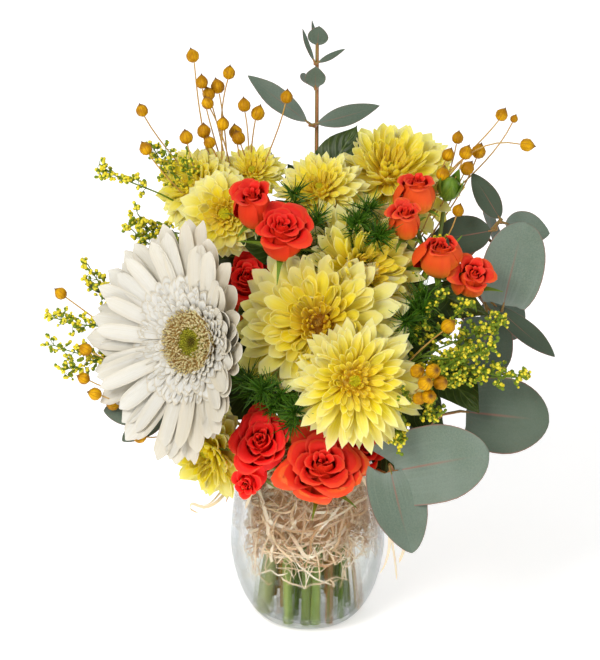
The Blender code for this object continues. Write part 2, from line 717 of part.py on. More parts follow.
def gerbera():
    """The gerbera: two rows of long rays and a crown of short ones."""
    base, axis, radius = bloom_of("gerbera_rays")
    swings = [(lean, share) for share in (1, 0.9, 0.7) for lean in (0, 0.12, -0.12, 0.25, 0.4, -0.3, 0.6)]

    def petal_of(row, middle, out):
        lift, less, half, outline, bend = GERBERA_PETALS[row - 1]

        def shape(swing, grow):
            lean, share = swing
            rise = math.radians(lift) + lean
            heading = out * math.cos(rise) + axis * math.sin(rise)
            face = axis * math.cos(rise) - out * math.sin(rise)
            long = (radius - less) * share
            return blade_rings(middle, heading, face, long, half, 1.1, bend, outline[1:], 0.2, grow)

        return shape, swings

    rings = HEARTS["gerbera_rays"][0]
    finish_bloom("gerbera_rays", grow_petals("gerbera_rays", rings, axis, base, petal_of))


def gerbera_disc(finish):
    """The disc of the gerbera: a low dome with raised florets and a hollow middle."""
    base, axis, _ = bloom_of("gerbera_rays")
    rings = []
    for row, (share, height) in enumerate(((1, GAP), (1, 2.2), (0.8, 3.6), (0.5, 3.0), (0.2, 2.4))):
        ring = ring_at(base + axis * (GERBERA_HIGH + height), axis, GERBERA_DISC * share, 16, 0.2 * row)
        rings.append([p + axis * (0.8 if row > 1 and (k + row) % 2 else 0) for k, p in enumerate(ring)])
    put("gerbera_disc", loft(rings), finish)


def rose(bloom):
    """A rose: cupped petals in two layers round its pointed heart, and of a bud in one."""
    base, axis, radius = bloom_of(bloom)
    tall, bud = rose_height(radius), radius <= BUD_SIZE
    count, layers = (4, BUD_PETALS) if bud else (5, ROSE_PETALS)
    first, second = across_of(axis)
    swings = [(1, 1), (0.94, 1), (0.88, 0.96), (0.8, 0.9), (0.72, 0.85)]

    def petal_of(row, middle, out):
        belly, rim, high = layers[row - 1]
        turn = math.atan2(out.dot(second), out.dot(first))

        def shape(swing, grow):
            tuck, share = swing
            rings = []
            for height, width, over in ((0.44, belly, -ROSE_OVERLAP / 2), (high, rim, ROSE_OVERLAP)):
                wide, thick = width * radius * tuck, PETAL_THICK / 2 + grow
                half = math.pi / count + over + grow / wide
                edge = 0.1 if height == high else 0
                middle = base + axis * height * share * tall
                inner, outer = wide * (1 - edge), wide * (1 + edge)
                spots = []
                for angle, spread in ((-half, inner), (0, wide - thick), (half, outer), (0, wide + thick)):
                    side = math.cos(turn + angle) * first + math.sin(turn + angle) * second
                    drop = 2.2 * edge * wide if angle else 0
                    spots.append(middle + side * spread - axis * drop)
                rings.append(spots)
            return rings, None

        return shape, swings

    finish_bloom(bloom, grow_petals(bloom, HEARTS[bloom][0], axis, base, petal_of))


def cup_stem(node, path, radii, bloom, sides, wide, high, luck, finish=None, leafy=0.0):
    """Puts a stem that widens into the green cup under a bloom. leafy is how far its sepals reach."""
    base, axis, _ = bloom_of(bloom)
    path = [*path, base - axis * (GAP + high * 0.45), base - axis * GAP]
    skin = Skin()
    rings = stem_rings(path, [*radii, wide * 0.75, wide], sides)
    loops = [skin.loop(ring) for ring in rings]
    skin.close(loops[0][::-1])
    for low, top in zip(loops, loops[1:-1]):
        skin.bridge(low, top)
    if leafy:
        for k in range(sides):
            after = (k + 1) % sides
            out = (rings[-1][k] + rings[-1][after]) / 2 - path[-1]
            point = path[-1] + out.normalized() * leafy - axis * leafy * luck.uniform(0.2, 0.5)
            foot = [rings[-2][k], rings[-2][after], rings[-1][after], rings[-1][k]]
            reach = loft([[p + out * 0.1 for p in foot]], point + out.normalized() * GAP)
            if not STANDING.clear(node, reach):
                point = sum(foot, Vector()) / 4 + out.normalized() * 0.4
            skin.tip([loops[-2][k], loops[-2][after], loops[-1][after], loops[-1][k]], point)
    else:
        skin.bridge(loops[-2], loops[-1])
    skin.close(loops[-1])
    put(node, skin.done(), finish)


def plant(node, finish, luck):
    """The stem of a plant to its first bloom, with its cup."""
    blooms, mouth, radius = PLANTS[node]
    share, high = CUPS[blooms[0].split("_")[0]]
    base, axis, size = bloom_of(blooms[0])
    path = main_path(node, mouth, base - axis * (high + GAP), axis, radius, luck, blooms[0])
    radii = [radius * (1 - 0.25 * k / (len(path) - 1)) for k in range(len(path))]
    leafy = size * 0.95 if blooms[0] in SEPALLED else 0
    cup_stem(node, path, radii, blooms[0], 5, size * share, high, luck, finish, leafy)
    STEMS_IN_WATER.append((path, radius, 5))
    return path


def side_blooms(node, path, luck):
    """The side stems of a plant, with their cups."""
    blooms, _, radius = PLANTS[node]
    share, high = CUPS[blooms[0].split("_")[0]]
    for order, bloom in enumerate(blooms[1:]):
        base, axis, size = bloom_of(bloom)
        fork = path[3].lerp(path[4], 0.25 + 0.3 * order)
        leave = (path[4] - path[3]).normalized()
        thin = [radius * 0.62] * 4
        way = bent(fork, base - axis * (high + GAP), leave, axis, 3)
        way = find_way(node, way, thin, (bloom,), luck) or way
        leafy = size * 0.95 if bloom in SEPALLED else 0
        cup_stem(node, way, thin, bloom, 5, size * share, high, luck, leafy=leafy)


def green_bud(path, luck):
    """The closed green rosebud on the right-hand rose."""
    at, turn, tilt, radius = GREEN_BUD
    axis, base = facing(turn, tilt), seen(*at)
    way = bent(path[3], base, Vector((0.4, 0, 0.9)).normalized(), axis, 3)
    way = find_way("rose_stem_right", way, [1.2] * 4, (), luck)
    if way:
        bud = [base + axis * height for height in (2.5, 6.5, 11, 16)]
        radii = [1.2] * 4 + [radius * 0.9, radius, radius * 0.6]
        put("rose_stem_right", tube([*way, *bud[:3]], radii, 5, bud[3]))


# Leaves and sprays


def nearest_on(path, point):
    """The point of a stem above the vase that is nearest to a point."""
    best, least = path[-1], math.inf
    for start, end in zip(path[2:], path[3:]):
        run = end - start
        spot = start + run * min(1.0, max(0.0, (point - start).dot(run) / run.length_squared))
        if (spot - point).length < least:
            best, least = spot, (spot - point).length
    return best


def leaf_rings(root, heading, face, length, half, outline, lean, roll, grow=0.0):
    """A leaf whose blade leans towards its face and rolls about its rib."""
    way = heading * math.cos(lean) + face * math.sin(lean)
    look = face * math.cos(lean) - heading * math.sin(lean)
    look = look * math.cos(roll) + heading.cross(face) * math.sin(roll)
    shares = [(0, LEAF_ROOT / half), *outline[1:]]
    return blade_rings(root - way, way, look, length + 1, half, 0.9, 10, shares, 0.12, grow)


def leaves_of(node, plan, path):
    """The leaves of a stem, each from the stem's nearest point to its tip, swung until it is clear."""
    siblings = Standing()
    siblings.add(node, NODES[node][1][0])
    for base, tip, (turn, tilt), half_width, outline in plan[4]:
        root, end = nearest_on(path, seen(*base)), seen(*tip)
        heading = (end - root).normalized()
        length = (end - root).length
        face = heading.cross(facing(turn, tilt)).cross(heading).normalized()
        for swing in LEAF_SWINGS:
            leaf = (root, heading, face, length, half_width, outline, *swing)
            rings, tip = leaf_rings(*leaf)
            outer = loft(rings[1:], tip)
            if siblings.clear("", outer) and STANDING.clear(node, loft(*leaf_rings(*leaf, GAP))):
                siblings.add(node, outer)
                put(node, loft(rings, tip))
                break


def spray_stem(node, plan, radius, finish, luck):
    mouth, end, _ = plan
    way = (seen(*end) - Vector((*mouth, VASE_HEIGHT))).normalized()
    return main_stem(node, mouth, seen(*end), way, radius, finish, luck, 0.8, 4)


def side_twigs(node, plan, path, radius, luck, lift, thick, short=0.0):
    """The ways of a spray's side twigs, which leave the upper part of its stem, and how each ends."""
    twigs = []
    for order, end in enumerate(plan[2]):
        tip = seen(*end)
        place = len(path) - 1.02 - 1.4 * (order + 0.5) / len(plan[2])
        fork = along(path, place)
        ahead = (along(path, place + 0.02) - fork).normalized()
        reach = (tip - fork).normalized()
        axis = (reach + Vector((luck.uniform(-0.2, 0.2), luck.uniform(-0.2, 0.2), lift))).normalized()
        way = bent(fork, tip - axis * short, (ahead * 0.7 + reach).normalized(), axis, 3)
        way = find_way(node, way, [radius] * 4, (), luck, spare=0.4)
        if way:
            twigs.append((way, axis))
            STANDING.add(node, tube([*way, way[-1] + axis * thick * 1.5], [radius] * 3 + [thick] * 2, 4))
    return twigs


def flax_twigs(node, twigs):
    """The flax's hair-thin side stems, each with a round pod that ends in a point."""
    for way, axis in twigs:
        for size in (1, 0.85, 0.7):
            pod = [way[-1] + axis * POD * size * share for share in (0.5, 1.4, 2.4)]
            wide = [POD * size, POD * size * 0.86]
            body = tube([way[-1], *pod[:2]], [0.8 + GAP, wide[0] + GAP, wide[1] + GAP], POD_SIDES, pod[2])
            if STANDING.clear(node, body):
                put(node, tube([*way, *pod[:2]], [0.55] * 4 + wide, [3] * 4 + [POD_SIDES] * 2, pod[2]))
                break


def goldenrod_twigs(node, twigs, luck):
    """The goldenrod's twigs, each strung with small buds."""
    for way, axis in twigs:
        spots, radii = [way[0], way[1]], [TWIG, TWIG]
        for k in range(FLORETS):
            place = 1 + 2 * k / FLORETS
            aside = Vector([luck.uniform(-0.9, 0.9) for _ in range(3)])
            spots += [along(way, place + 0.05), along(way, place + 2 / FLORETS - 0.15) + aside]
            radii += [TWIG, FLORET]
        for size in (1, 0.8, 0.6):
            slim = [max(TWIG, radius * size) for radius in radii]
            if STANDING.clear(node, tube(spots, [radius + GAP for radius in slim], 3, way[-1] + axis * 2.5)):
                put(node, tube(spots, slim, 3, way[-1] + axis * 2))
                break
        else:
            put(node, tube(way, [TWIG] * 4, 3))


def fern_twigs(node, twigs, luck):
    """The asparagus fern's twigs, each ending in a tuft of needles."""
    for way, axis in twigs:
        stem = stem_rings(way, [0.9] * 4, 4)
        first, second = across_of(axis)
        mark = stem[-1][0] - way[-1]
        start = math.atan2(mark.dot(second), mark.dot(first))
        base = way[-1] + axis * 0.6
        rings = heart_rings(base, axis, TUFT_HEART, 4, start=start)
        middle = base + axis * 1.6

        def petal_of(row, spot, out, middle=middle):
            way_out = (spot - middle).normalized()
            bow = Vector([luck.uniform(-0.15, 0.15) for _ in range(3)])

            def shape(swing, grow):
                heading = (way_out + bow + Vector((0, 0, swing[0]))).normalized()
                return spot + heading * (NEEDLE * swing[1] + grow)

            return shape, [(0, 1), (0.4, 1), (-0.4, 0.9), (0, 0.6)]

        needles = grow_needles(node, rings, axis, base, petal_of)
        crown = [p + (p - base - axis * 3.1) * 0.3 for p in rings[-1]]
        for share in (0.8, 0.4, 0.15, 0):
            peak = base + axis * (3.4 + NEEDLE * share)
            if STANDING.clear(node, loft([crown], peak + axis * GAP)):
                break
        put(node, lattice(rings, peak, needles, stem[::-1]))


def grow_needles(node, rings, axis, base, petal_of):
    """The needles of a tuft, each the first of its swings that is clear."""
    needles = {}
    for row, k, corners, middle, out in cells_of(rings, axis, base):
        shape, swings = petal_of(row, middle, out)
        for swing in swings:
            fat = [p + (p - middle) * 0.3 for p in corners]
            if STANDING.clear(node, loft([fat], shape(swing, GAP))):
                needles[row, k] = (), shape(swing, 0.0)
                break
    return needles


# The vase, the water and the wood wool


def lathe(profile, sides):
    """A body turned about the vase's axis from a profile whose first and last points lie on it."""
    skin, up = Skin(), Vector((0, 0, 1))
    loops = [skin.loop(ring_at(up * height, up, width, sides)) for width, height in profile[1:-1]]
    skin.tip(loops[0][::-1], up * profile[0][1])
    for low, high in zip(loops, loops[1:]):
        skin.bridge(low, high)
    skin.tip(loops[-1], up * profile[-1][1])
    return skin.done()


def vase(glass):
    """The clear glass vase: a round body on a small flat foot, open at the top."""
    lip = [(VASE_OUTLINE[-1][0] - VASE_WALL / 2, VASE_HEIGHT + 0.8)]
    inner = [(w - VASE_WALL, h) for w, h in reversed(VASE_OUTLINE) if h > VASE_FLOOR + 5]
    floor = [(28, VASE_FLOOR + 2), (22, VASE_FLOOR), (0, VASE_FLOOR)]
    put("vase", lathe([(0, 0), *VASE_OUTLINE, *lip, *inner, *floor], VASE_SIDES), glass)


def water(clear):
    """The water, with a plain hole for each stem that stands in it."""
    spare = GAP + 0.5
    middle = VASE_OUTLINE[2][1]
    profile = [(21.5, VASE_FLOOR + GAP), (27, VASE_FLOOR + 3.2), (vase_inner(middle) - spare, middle)]
    profile.append((vase_inner(WATER_LEVEL) - spare, WATER_LEVEL))
    skin, up = Skin(), Vector((0, 0, 1))
    loops = [skin.loop(ring_at(up * height, up, width, WATER_SIDES)) for width, height in profile]
    skin.close(loops[0][::-1], whole=True)
    for low, high in zip(loops, loops[1:]):
        skin.bridge(low, high)
    skin.close(loops[-1], whole=True)
    body = mesh_object("water", skin.done(), clear)
    holes = bpy.data.collections.new("stem_holes")
    bpy.context.scene.collection.children.link(holes)
    for number, (path, radius, sides) in enumerate(STEMS_IN_WATER):
        below = path[0] - (path[1] - path[0]) * 0.1
        wide = radius + 1.3 * GAP
        hole = mesh_object(f"hole_{number}", tube([below, path[1]], [wide, wide], sides), None, holes)
        hole.hide_render = True
    join(body, holes, "DIFFERENCE")
    merge_flat(body)


def wool_core():
    """The packed shavings round the stems."""
    outline = [(WOOL_BOTTOM + 4, 30), (WOOL_BOTTOM + 22, 31.5), (WOOL_TOP - 14, 30), (WOOL_TOP - 4, 28)]
    outline += [(WOOL_TOP - 4, STEM_WELL + 0.8), (WOOL_BOTTOM + 4, STEM_WELL + 0.8)]
    skin, up = Skin(), Vector((0, 0, 1))
    loops = [skin.loop(ring_at(up * height, up, width, WOOL_SIDES)) for height, width in outline]
    for low, high in zip(loops, loops[1:] + loops[:1]):
        skin.bridge(low, high)
    return skin.done()


def wood_wool(luck):
    """The curled shavings over the core."""
    for start in turns_of(WOOL_STRANDS):
        height = luck.uniform(WOOL_BOTTOM + 8, WOOL_TOP - 10)
        strand(start, lying_route(height, luck), luck)
    for degrees in SPILLED_AT:
        strand(math.radians(degrees), spilled_route(luck), luck)


def lying_route(height, luck):
    """A strand from the core to the glass and along it, as (half-width, height, turn)."""
    drop, spin = luck.uniform(-15, 6), luck.uniform(0.3, 0.6)
    route = [(29.5, height, 0)]
    for share in (0.3, 1.0):
        level = min(height + drop * share, VASE_HEIGHT)
        route.append((vase_inner(level) - 2.1, level, spin * share))
    return route


def spilled_route(luck):
    """A strand from the core over the rim, hanging outside the vase."""
    over = VASE_OUTLINE[-1][0] + 2.5
    far = over + luck.uniform(6, 12)
    start = [(26, WOOL_TOP - 6, 0), (31, WOOL_TOP, 0.05)]
    return [*start, (over, WOOL_TOP + 1, 0.1), (far, WOOL_TOP - 20, 0.25)]


def strand(start, route, luck):
    """A flat curled shaving along a route."""
    way = luck.choice((-1, 1))

    def shape(swing, grow):
        turns = [start + swing + way * turn for _, _, turn in route]
        path = [Vector((w * math.cos(t), w * math.sin(t), h)) for (w, h, _), t in zip(route, turns)]
        return ribbon(path, 1.6 + grow, 0.45 + grow)

    try_put("wood_wool", shape, [0, 0.12, -0.12, 0.25, -0.25])


def ribbon(path, half_width, half_thick):
    """A flat strip along a path, its flat side facing the vase's axis."""
    rings, side = [], None
    for k, point in enumerate(path):
        ahead = (path[min(k + 1, len(path) - 1)] - path[max(k - 1, 0)]).normalized()
        side = ahead.cross(Vector((point.x, point.y, 0))) if side is None else side - ahead * side.dot(ahead)
        side.normalize()
        flat = side.cross(ahead)
        corners = ((-1, -1), (1, -1), (1, 1), (-1, 1))
        rings.append([point + side * a * half_width + flat * b * half_thick for a, b in corners])
    return loft(rings)


# Objects


def mesh_object(name, skin, finish, collection=None):
    points, faces = skin
    mesh = bpy.data.meshes.new(name)
    mesh.from_pydata([tuple(Vector(p) * MM) for p in points], [], faces)
    if finish:
        mesh.materials.append(finish)
    made = bpy.data.objects.new(name, mesh)
    (collection or bpy.context.scene.collection).objects.link(made)
    return made


def join(body, others, operation="UNION"):
    """Applies one Boolean with all of a collection's objects, and removes them."""
    modifier = body.modifiers.new("Join", "BOOLEAN")
    modifier.operation = operation
    modifier.operand_type = "COLLECTION"
    modifier.collection = others
    modifier.solver = "MANIFOLD"
    evaluated = body.evaluated_get(bpy.context.evaluated_depsgraph_get())
    result = bpy.data.meshes.new_from_object(evaluated)
    body.modifiers.clear()
    body.data = result
    for helper in list(others.objects):
        bpy.data.objects.remove(helper)
    bpy.data.collections.remove(others)


def keep_largest(body):
    """Drops the loose scraps of a node."""
    mesh = body.data
    parent = list(range(len(mesh.vertices)))

    def root(k):
        while parent[k] != k:
            parent[k] = parent[parent[k]]
            k = parent[k]
        return k

    for edge in mesh.edges:
        parent[root(edge.vertices[0])] = root(edge.vertices[1])
    counts = {}
    for k in range(len(parent)):
        counts[root(k)] = counts.get(root(k), 0) + 1
    if len(counts) == 1:
        return
    best = max(counts, key=counts.get)
    faces = [tuple(face.vertices) for face in mesh.polygons if root(face.vertices[0]) == best]
    used = sorted({v for face in faces for v in face})
    number = {v: n for n, v in enumerate(used)}
    kept = bpy.data.meshes.new(mesh.name)
    kept.from_pydata([mesh.vertices[v].co for v in used], [], [[number[v] for v in face] for face in faces])
    kept.materials.append(mesh.materials[0])
    body.data = kept


def merge_flat(body):
    """Merges the flat pieces that a Boolean leaves, and drops the points that lie on straight edges."""
    shape = bmesh.new()
    shape.from_mesh(body.data)
    bmesh.ops.dissolve_limit(shape, angle_limit=math.radians(0.1), verts=shape.verts, edges=shape.edges)
    bmesh.ops.triangulate(shape, faces=shape.faces)
    shape.to_mesh(body.data)
    shape.free()


def smooth(mesh):
    """Shades a round body smooth, its rims kept sharp."""
    mesh.shade_smooth()
    mesh.set_sharp_from_angle(angle=math.radians(40))


def make_objects():
    """One object for each node, its skins joined in one body."""
    for node, (finish, skins) in NODES.items():
        body = mesh_object(node, skins[0], finish)
        if len(skins) > 1:
            repeats = bpy.data.collections.new(node + "_repeats")
            bpy.context.scene.collection.children.link(repeats)
            for number, skin in enumerate(skins[1:]):
                mesh_object(f"{node}_{number}", skin, None, repeats)
            join(body, repeats)
            keep_largest(body)
            merge_flat(body)


def place_gerbera_stem(finish, luck):
    base, axis, _ = bloom_of("gerbera_rays")
    wide, high = GERBERA_CUP
    end = base - axis * (high + GAP)
    path = main_path("gerbera_stem", GERBERA_MOUTH, end, axis, GERBERA_STEM, luck, "gerbera_rays")
    cup_stem("gerbera_stem", path, [GERBERA_STEM] * len(path), "gerbera_rays", 8, wide, high, luck, finish)
    STEMS_IN_WATER.append((path, GERBERA_STEM, 8))


def place_stems(luck):
    """The main stem of every plant and spray, whose routes the side stems then leave."""
    green = material("Stem green", (0.20, 0.36, 0.08), 0.5)
    blue_green = material("Eucalyptus", (0.20, 0.30, 0.25), 0.6)
    dark_green = material("Broad leaf", (0.05, 0.14, 0.04), 0.35)
    gold = material("Flax", (0.62, 0.38, 0.05), 0.55)
    lime = material("Goldenrod", (0.62, 0.62, 0.06), 0.6)
    fern = material("Asparagus fern", (0.04, 0.18, 0.03), 0.5)
    place_gerbera_stem(green, luck)
    paths = {node: plant(node, green, luck) for node in PLANTS}
    for plans, finish in ((EUCALYPTUS, blue_green), (BROAD_LEAVES, dark_green)):
        for node, (mouth, end, arrive, radius, _) in plans.items():
            way = Vector(arrive).normalized()
            paths[node] = main_stem(node, mouth, seen(*end), way, radius, finish, luck, sides=4)
    for plans, radius, finish in ((FLAX, 1.2, gold), (SOLIDAGO, 1.2, lime), (ASPARAGUS, 1.1, fern)):
        for node, plan in plans.items():
            paths[node] = spray_stem(node, plan, radius, finish, luck)
    return paths


def place_hearts():
    """The heart of every bloom, which the stems then keep clear of."""
    yellow = material("Chrysanthemum yellow", (0.93, 0.80, 0.22), 0.5)
    coral = material("Rose coral", (0.86, 0.10, 0.05), 0.45)
    for bloom in MUMS:
        set_heart(bloom, yellow)
    for bloom in ROSES:
        set_heart(bloom, coral)
    set_heart("gerbera_rays", material("Gerbera white", (0.88, 0.87, 0.80), 0.5))
    gerbera_disc(material("Gerbera centre", (0.55, 0.56, 0.22), 0.6))


def place_petals(luck):
    """The petals of every bloom. The two large roses in front have theirs before the gerbera."""
    roses = list(ROSES)
    for bloom in roses[:2]:
        rose(bloom)
    gerbera()
    for bloom in roses[2:]:
        rose(bloom)
    for bloom in MUMS:
        mum(bloom, luck)


def main():
    clear_scene()
    luck = random.Random(SEED)
    vase(material("Clear glass", (0.92, 0.95, 0.96), 0.03, 0.35, 0.9))
    put("wood_wool", wool_core(), material("Wood wool", (0.78, 0.60, 0.38), 0.7))
    place_hearts()
    paths = place_stems(luck)
    for node in PLANTS:
        side_blooms(node, paths[node], luck)
    green_bud(paths["rose_stem_right"], luck)
    for node, plan in FLAX.items():
        flax_twigs(node, side_twigs(node, plan, paths[node], 0.6, luck, 0.3, 0.6, POD))
    goldenrod, ferns = {}, {}
    for node, plan in SOLIDAGO.items():
        goldenrod[node] = side_twigs(node, plan, paths[node], 0.8, luck, 0.1, 1.2)
    for node, plan in ASPARAGUS.items():
        ferns[node] = side_twigs(node, plan, paths[node], 0.9, luck, 0.1, 2.0)
    place_petals(luck)
    for node, plan in (EUCALYPTUS | BROAD_LEAVES).items():
        leaves_of(node, plan, paths[node])
    for node, twigs in goldenrod.items():
        goldenrod_twigs(node, twigs, luck)
    for node, twigs in ferns.items():
        fern_twigs(node, twigs, luck)
    wood_wool(luck)
    make_objects()
    water(material("Water", (0.86, 0.92, 0.92), 0.02, 0.4, 0.9))
    for name in ("vase", "water"):
        smooth(bpy.data.objects[name].data)


main()
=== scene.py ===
"""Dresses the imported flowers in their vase: blooms, leaves, sprays, wood wool, glass, water and stage.

Lengths in the tables and in the shape code are millimetres in the frame of the CAD model: +X to the
viewer's right, +Y away from the viewer, +Z up. The settings that a user changes are in metres.
"""

import math
import random

import bpy
import numpy as np
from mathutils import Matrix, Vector
from mathutils.bvhtree import BVHTree


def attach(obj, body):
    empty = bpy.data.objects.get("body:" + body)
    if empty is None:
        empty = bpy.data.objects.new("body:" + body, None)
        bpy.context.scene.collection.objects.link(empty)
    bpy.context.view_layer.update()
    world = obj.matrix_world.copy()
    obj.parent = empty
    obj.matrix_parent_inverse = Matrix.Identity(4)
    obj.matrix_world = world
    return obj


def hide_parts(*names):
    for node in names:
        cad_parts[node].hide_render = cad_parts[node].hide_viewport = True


bl_info = {
    "name": "Flowers in a vase",
    "version": (1, 0, 0),
    "blender": (4, 5, 0),
    "location": "3D View > Sidebar > Flowers",
    "description": "Builds a mixed bouquet of cut and dried flowers in a clear glass vase",
    "category": "Add Mesh",
}

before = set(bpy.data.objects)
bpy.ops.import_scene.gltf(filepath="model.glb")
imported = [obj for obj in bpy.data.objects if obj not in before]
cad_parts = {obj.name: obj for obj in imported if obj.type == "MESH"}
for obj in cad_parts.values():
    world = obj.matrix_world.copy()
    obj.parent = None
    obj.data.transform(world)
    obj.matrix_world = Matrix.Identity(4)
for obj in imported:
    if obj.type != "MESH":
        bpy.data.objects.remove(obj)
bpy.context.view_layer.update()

MM = 0.001
GOLDEN = math.radians(137.508)  # the turn from each petal or floret to the next
BLADE_STEPS = 24  # steps along the curve of a petal or leaf
STEM_STEP = 2.5  # from each point of a stem's line to the next

# The vase: outer half-widths up its height, its wall and its thick floor.
VASE_OUTLINE = [(23.5, 0), (30, 6), (36.5, 19), (40.4, 38), (39.9, 56), (37.3, 76), (35, 92)]
VASE_HEIGHT = 92.0
VASE_WALL = 2.2
VASE_FLOOR = 7.0
WATER_LEVEL = 31.0
WOOL_BOTTOM = 40.0
WOOL_TOP = 95.0
WOOL_LEFT = -31.5  # the glass is clear on the viewer's left

# Places are given as the viewer sees them: across, up in the picture and towards the viewer.
VIEW_TILT = 25.0
FLOWERS_MIDDLE = np.array((0.0, 0.0, 163.0))
AIM = -4.0  # how far across from there the camera aims

# Each bloom: the middle of its face, its turn to the right and tilt up in degrees, its half-width.
GERBERA = ((-59, -6, 50), -40, 19, 60)
MUMS = {
    "mum_front": ((24, -26, 74), 8, 24, 34),
    "mum_middle": ((5, 4, 52), -4, 32, 45),
    "mum_right": ((30, 31, 38), 32, 36, 37),
    "mum_upper_left": ((-43, 60, 34), -10, 26, 22),
    "mum_top": ((6, 74, 24), -16, 52, 25),
    "mum_top_right": ((43, 85, 6), 22, 66, 35),
    "mum_far_left": ((-60, 76, 8), -48, 38, 24),
    "mum_low_left": ((-53, -64, 20), -38, -10, 28),
    "mum_small_top": ((-29, 83, 2), -5, 60, 17),
    "mum_back": ((-6, 38, -46), 180, 34, 40),
}
ROSES = {
    "rose_front": ((8, -66, 50), 5, 54, 20),
    "rose_front_left": ((-25, -55, 48), -10, 46, 18),
    "rose_upper_middle": ((-13, 52, 56), 2, 60, 14.5),
    "rose_upper_left": ((-28, 64, 47), -12, 66, 12.6),
    "rose_behind_left": ((-31, 29, 28), -4, 46, 13.5),
    "rose_right_high": ((56, 70, 24), 12, 72, 11.5),
    "rose_right_small": ((50, 57, 36), 4, 62, 9.5),
    "rose_right": ((68, 38, 32), 8, 56, 13),
    "rose_right_outer": ((85, 27, 26), 24, 50, 12),
    "rose_low_bud": ((-31, -79, 38), -20, 2, 9.5),
    "rose_behind_right": ((31, -60, 34), 24, 34, 13),
    "rose_back_left": ((-48, 16, -36), -128, 40, 15),
    "rose_back_right": ((46, 8, -38), 138, 36, 15),
}
GREEN_BUD = ((72, 70, 8), 20, 60, 5.5)
BUD_SIZE = 13  # a rose of this half-width or less is a bud
BUD_PETALS = 14
ROSE_PETALS = 26
SEPALLED = ("rose_front_left", "rose_upper_middle", "rose_right", "rose_right_outer", "rose_right_small")

# Stems with several blooms: the blooms, where the stem passes the vase's mouth, its half-thickness.
PLANTS = {
    "mum_stem_front": (("mum_middle", "mum_front", "mum_right"), (6, -9), 2.3),
    "mum_stem_top": (("mum_top", "mum_top_right"), (10, 9), 2.3),
    "mum_stem_left": (("mum_upper_left", "mum_far_left", "mum_small_top"), (-8, 4), 2.3),
    "mum_stem_low": (("mum_low_left",), (-12, -13), 2.0),
    "mum_stem_back": (("mum_back",), (6, 17), 2.3),
    "rose_stem_upper": (("rose_upper_middle", "rose_upper_left", "rose_behind_left"), (-4, -2), 1.9),
    "rose_stem_right": (
        ("rose_right", "rose_right_outer", "rose_right_small", "rose_right_high"),
        (17, 0),
        1.9,
    ),
    "rose_stem_front": (
        ("rose_front", "rose_front_left", "rose_low_bud", "rose_behind_right"),
        (0, -17),
        1.9,
    ),
    "rose_stem_back": (("rose_back_left", "rose_back_right"), (-6, 17), 1.9),
}
MUM_CUP = (0.22, 5.0)  # half-width as a share of the bloom's, height
ROSE_HIP = 0.28  # half-width as a share of the bloom's
ROSE_HIP_HEIGHT = 4.0
GERBERA_DEPTH = 6  # from the middle of its face back to its base
GERBERA_CUP = (11.0, 9.0)
GERBERA_MOUTH = (-14.5, -4.5)
GERBERA_STEM = 3.3
# Where the stems that show in the water stand on the vase's bottom.
FEET = {
    "gerbera_stem": (-22.5, -9.5, 4.6),
    "mum_stem_low": (-10, -20, 2.6),
    "rose_stem_front": (-1, -21.5, 2.6),
    "mum_stem_front": (3.5, -20.5, 2.4),
    "eucalyptus_low": (11, -20, 2.6),
    "asparagus_low": (-6, -14, 4),
    "broad_leaves_right": (21, -4, 4),
    "flax_right": (26, -10, 6),
    "goldenrod_right": (17, -16, 3),
    "flax_lower_left": (-13, -6, 5),
    "asparagus_right": (12, -9, 5),
}

# Leaf outlines: the powers a and b in the width sin(pi * v ** a) ** b at the share v of the length.
ROUND = (0.90, 0.46)
OVAL = (0.84, 0.66)
LONG = (0.92, 0.80)
HEART = (0.72, 0.60)
CLASPING = (0.90, 0.50)
LOBES = {ROUND: 0.12, CLASPING: 0.32, HEART: 0.24}  # how far a leaf reaches back past its stalk
POINTED = (0.80, 1.15)

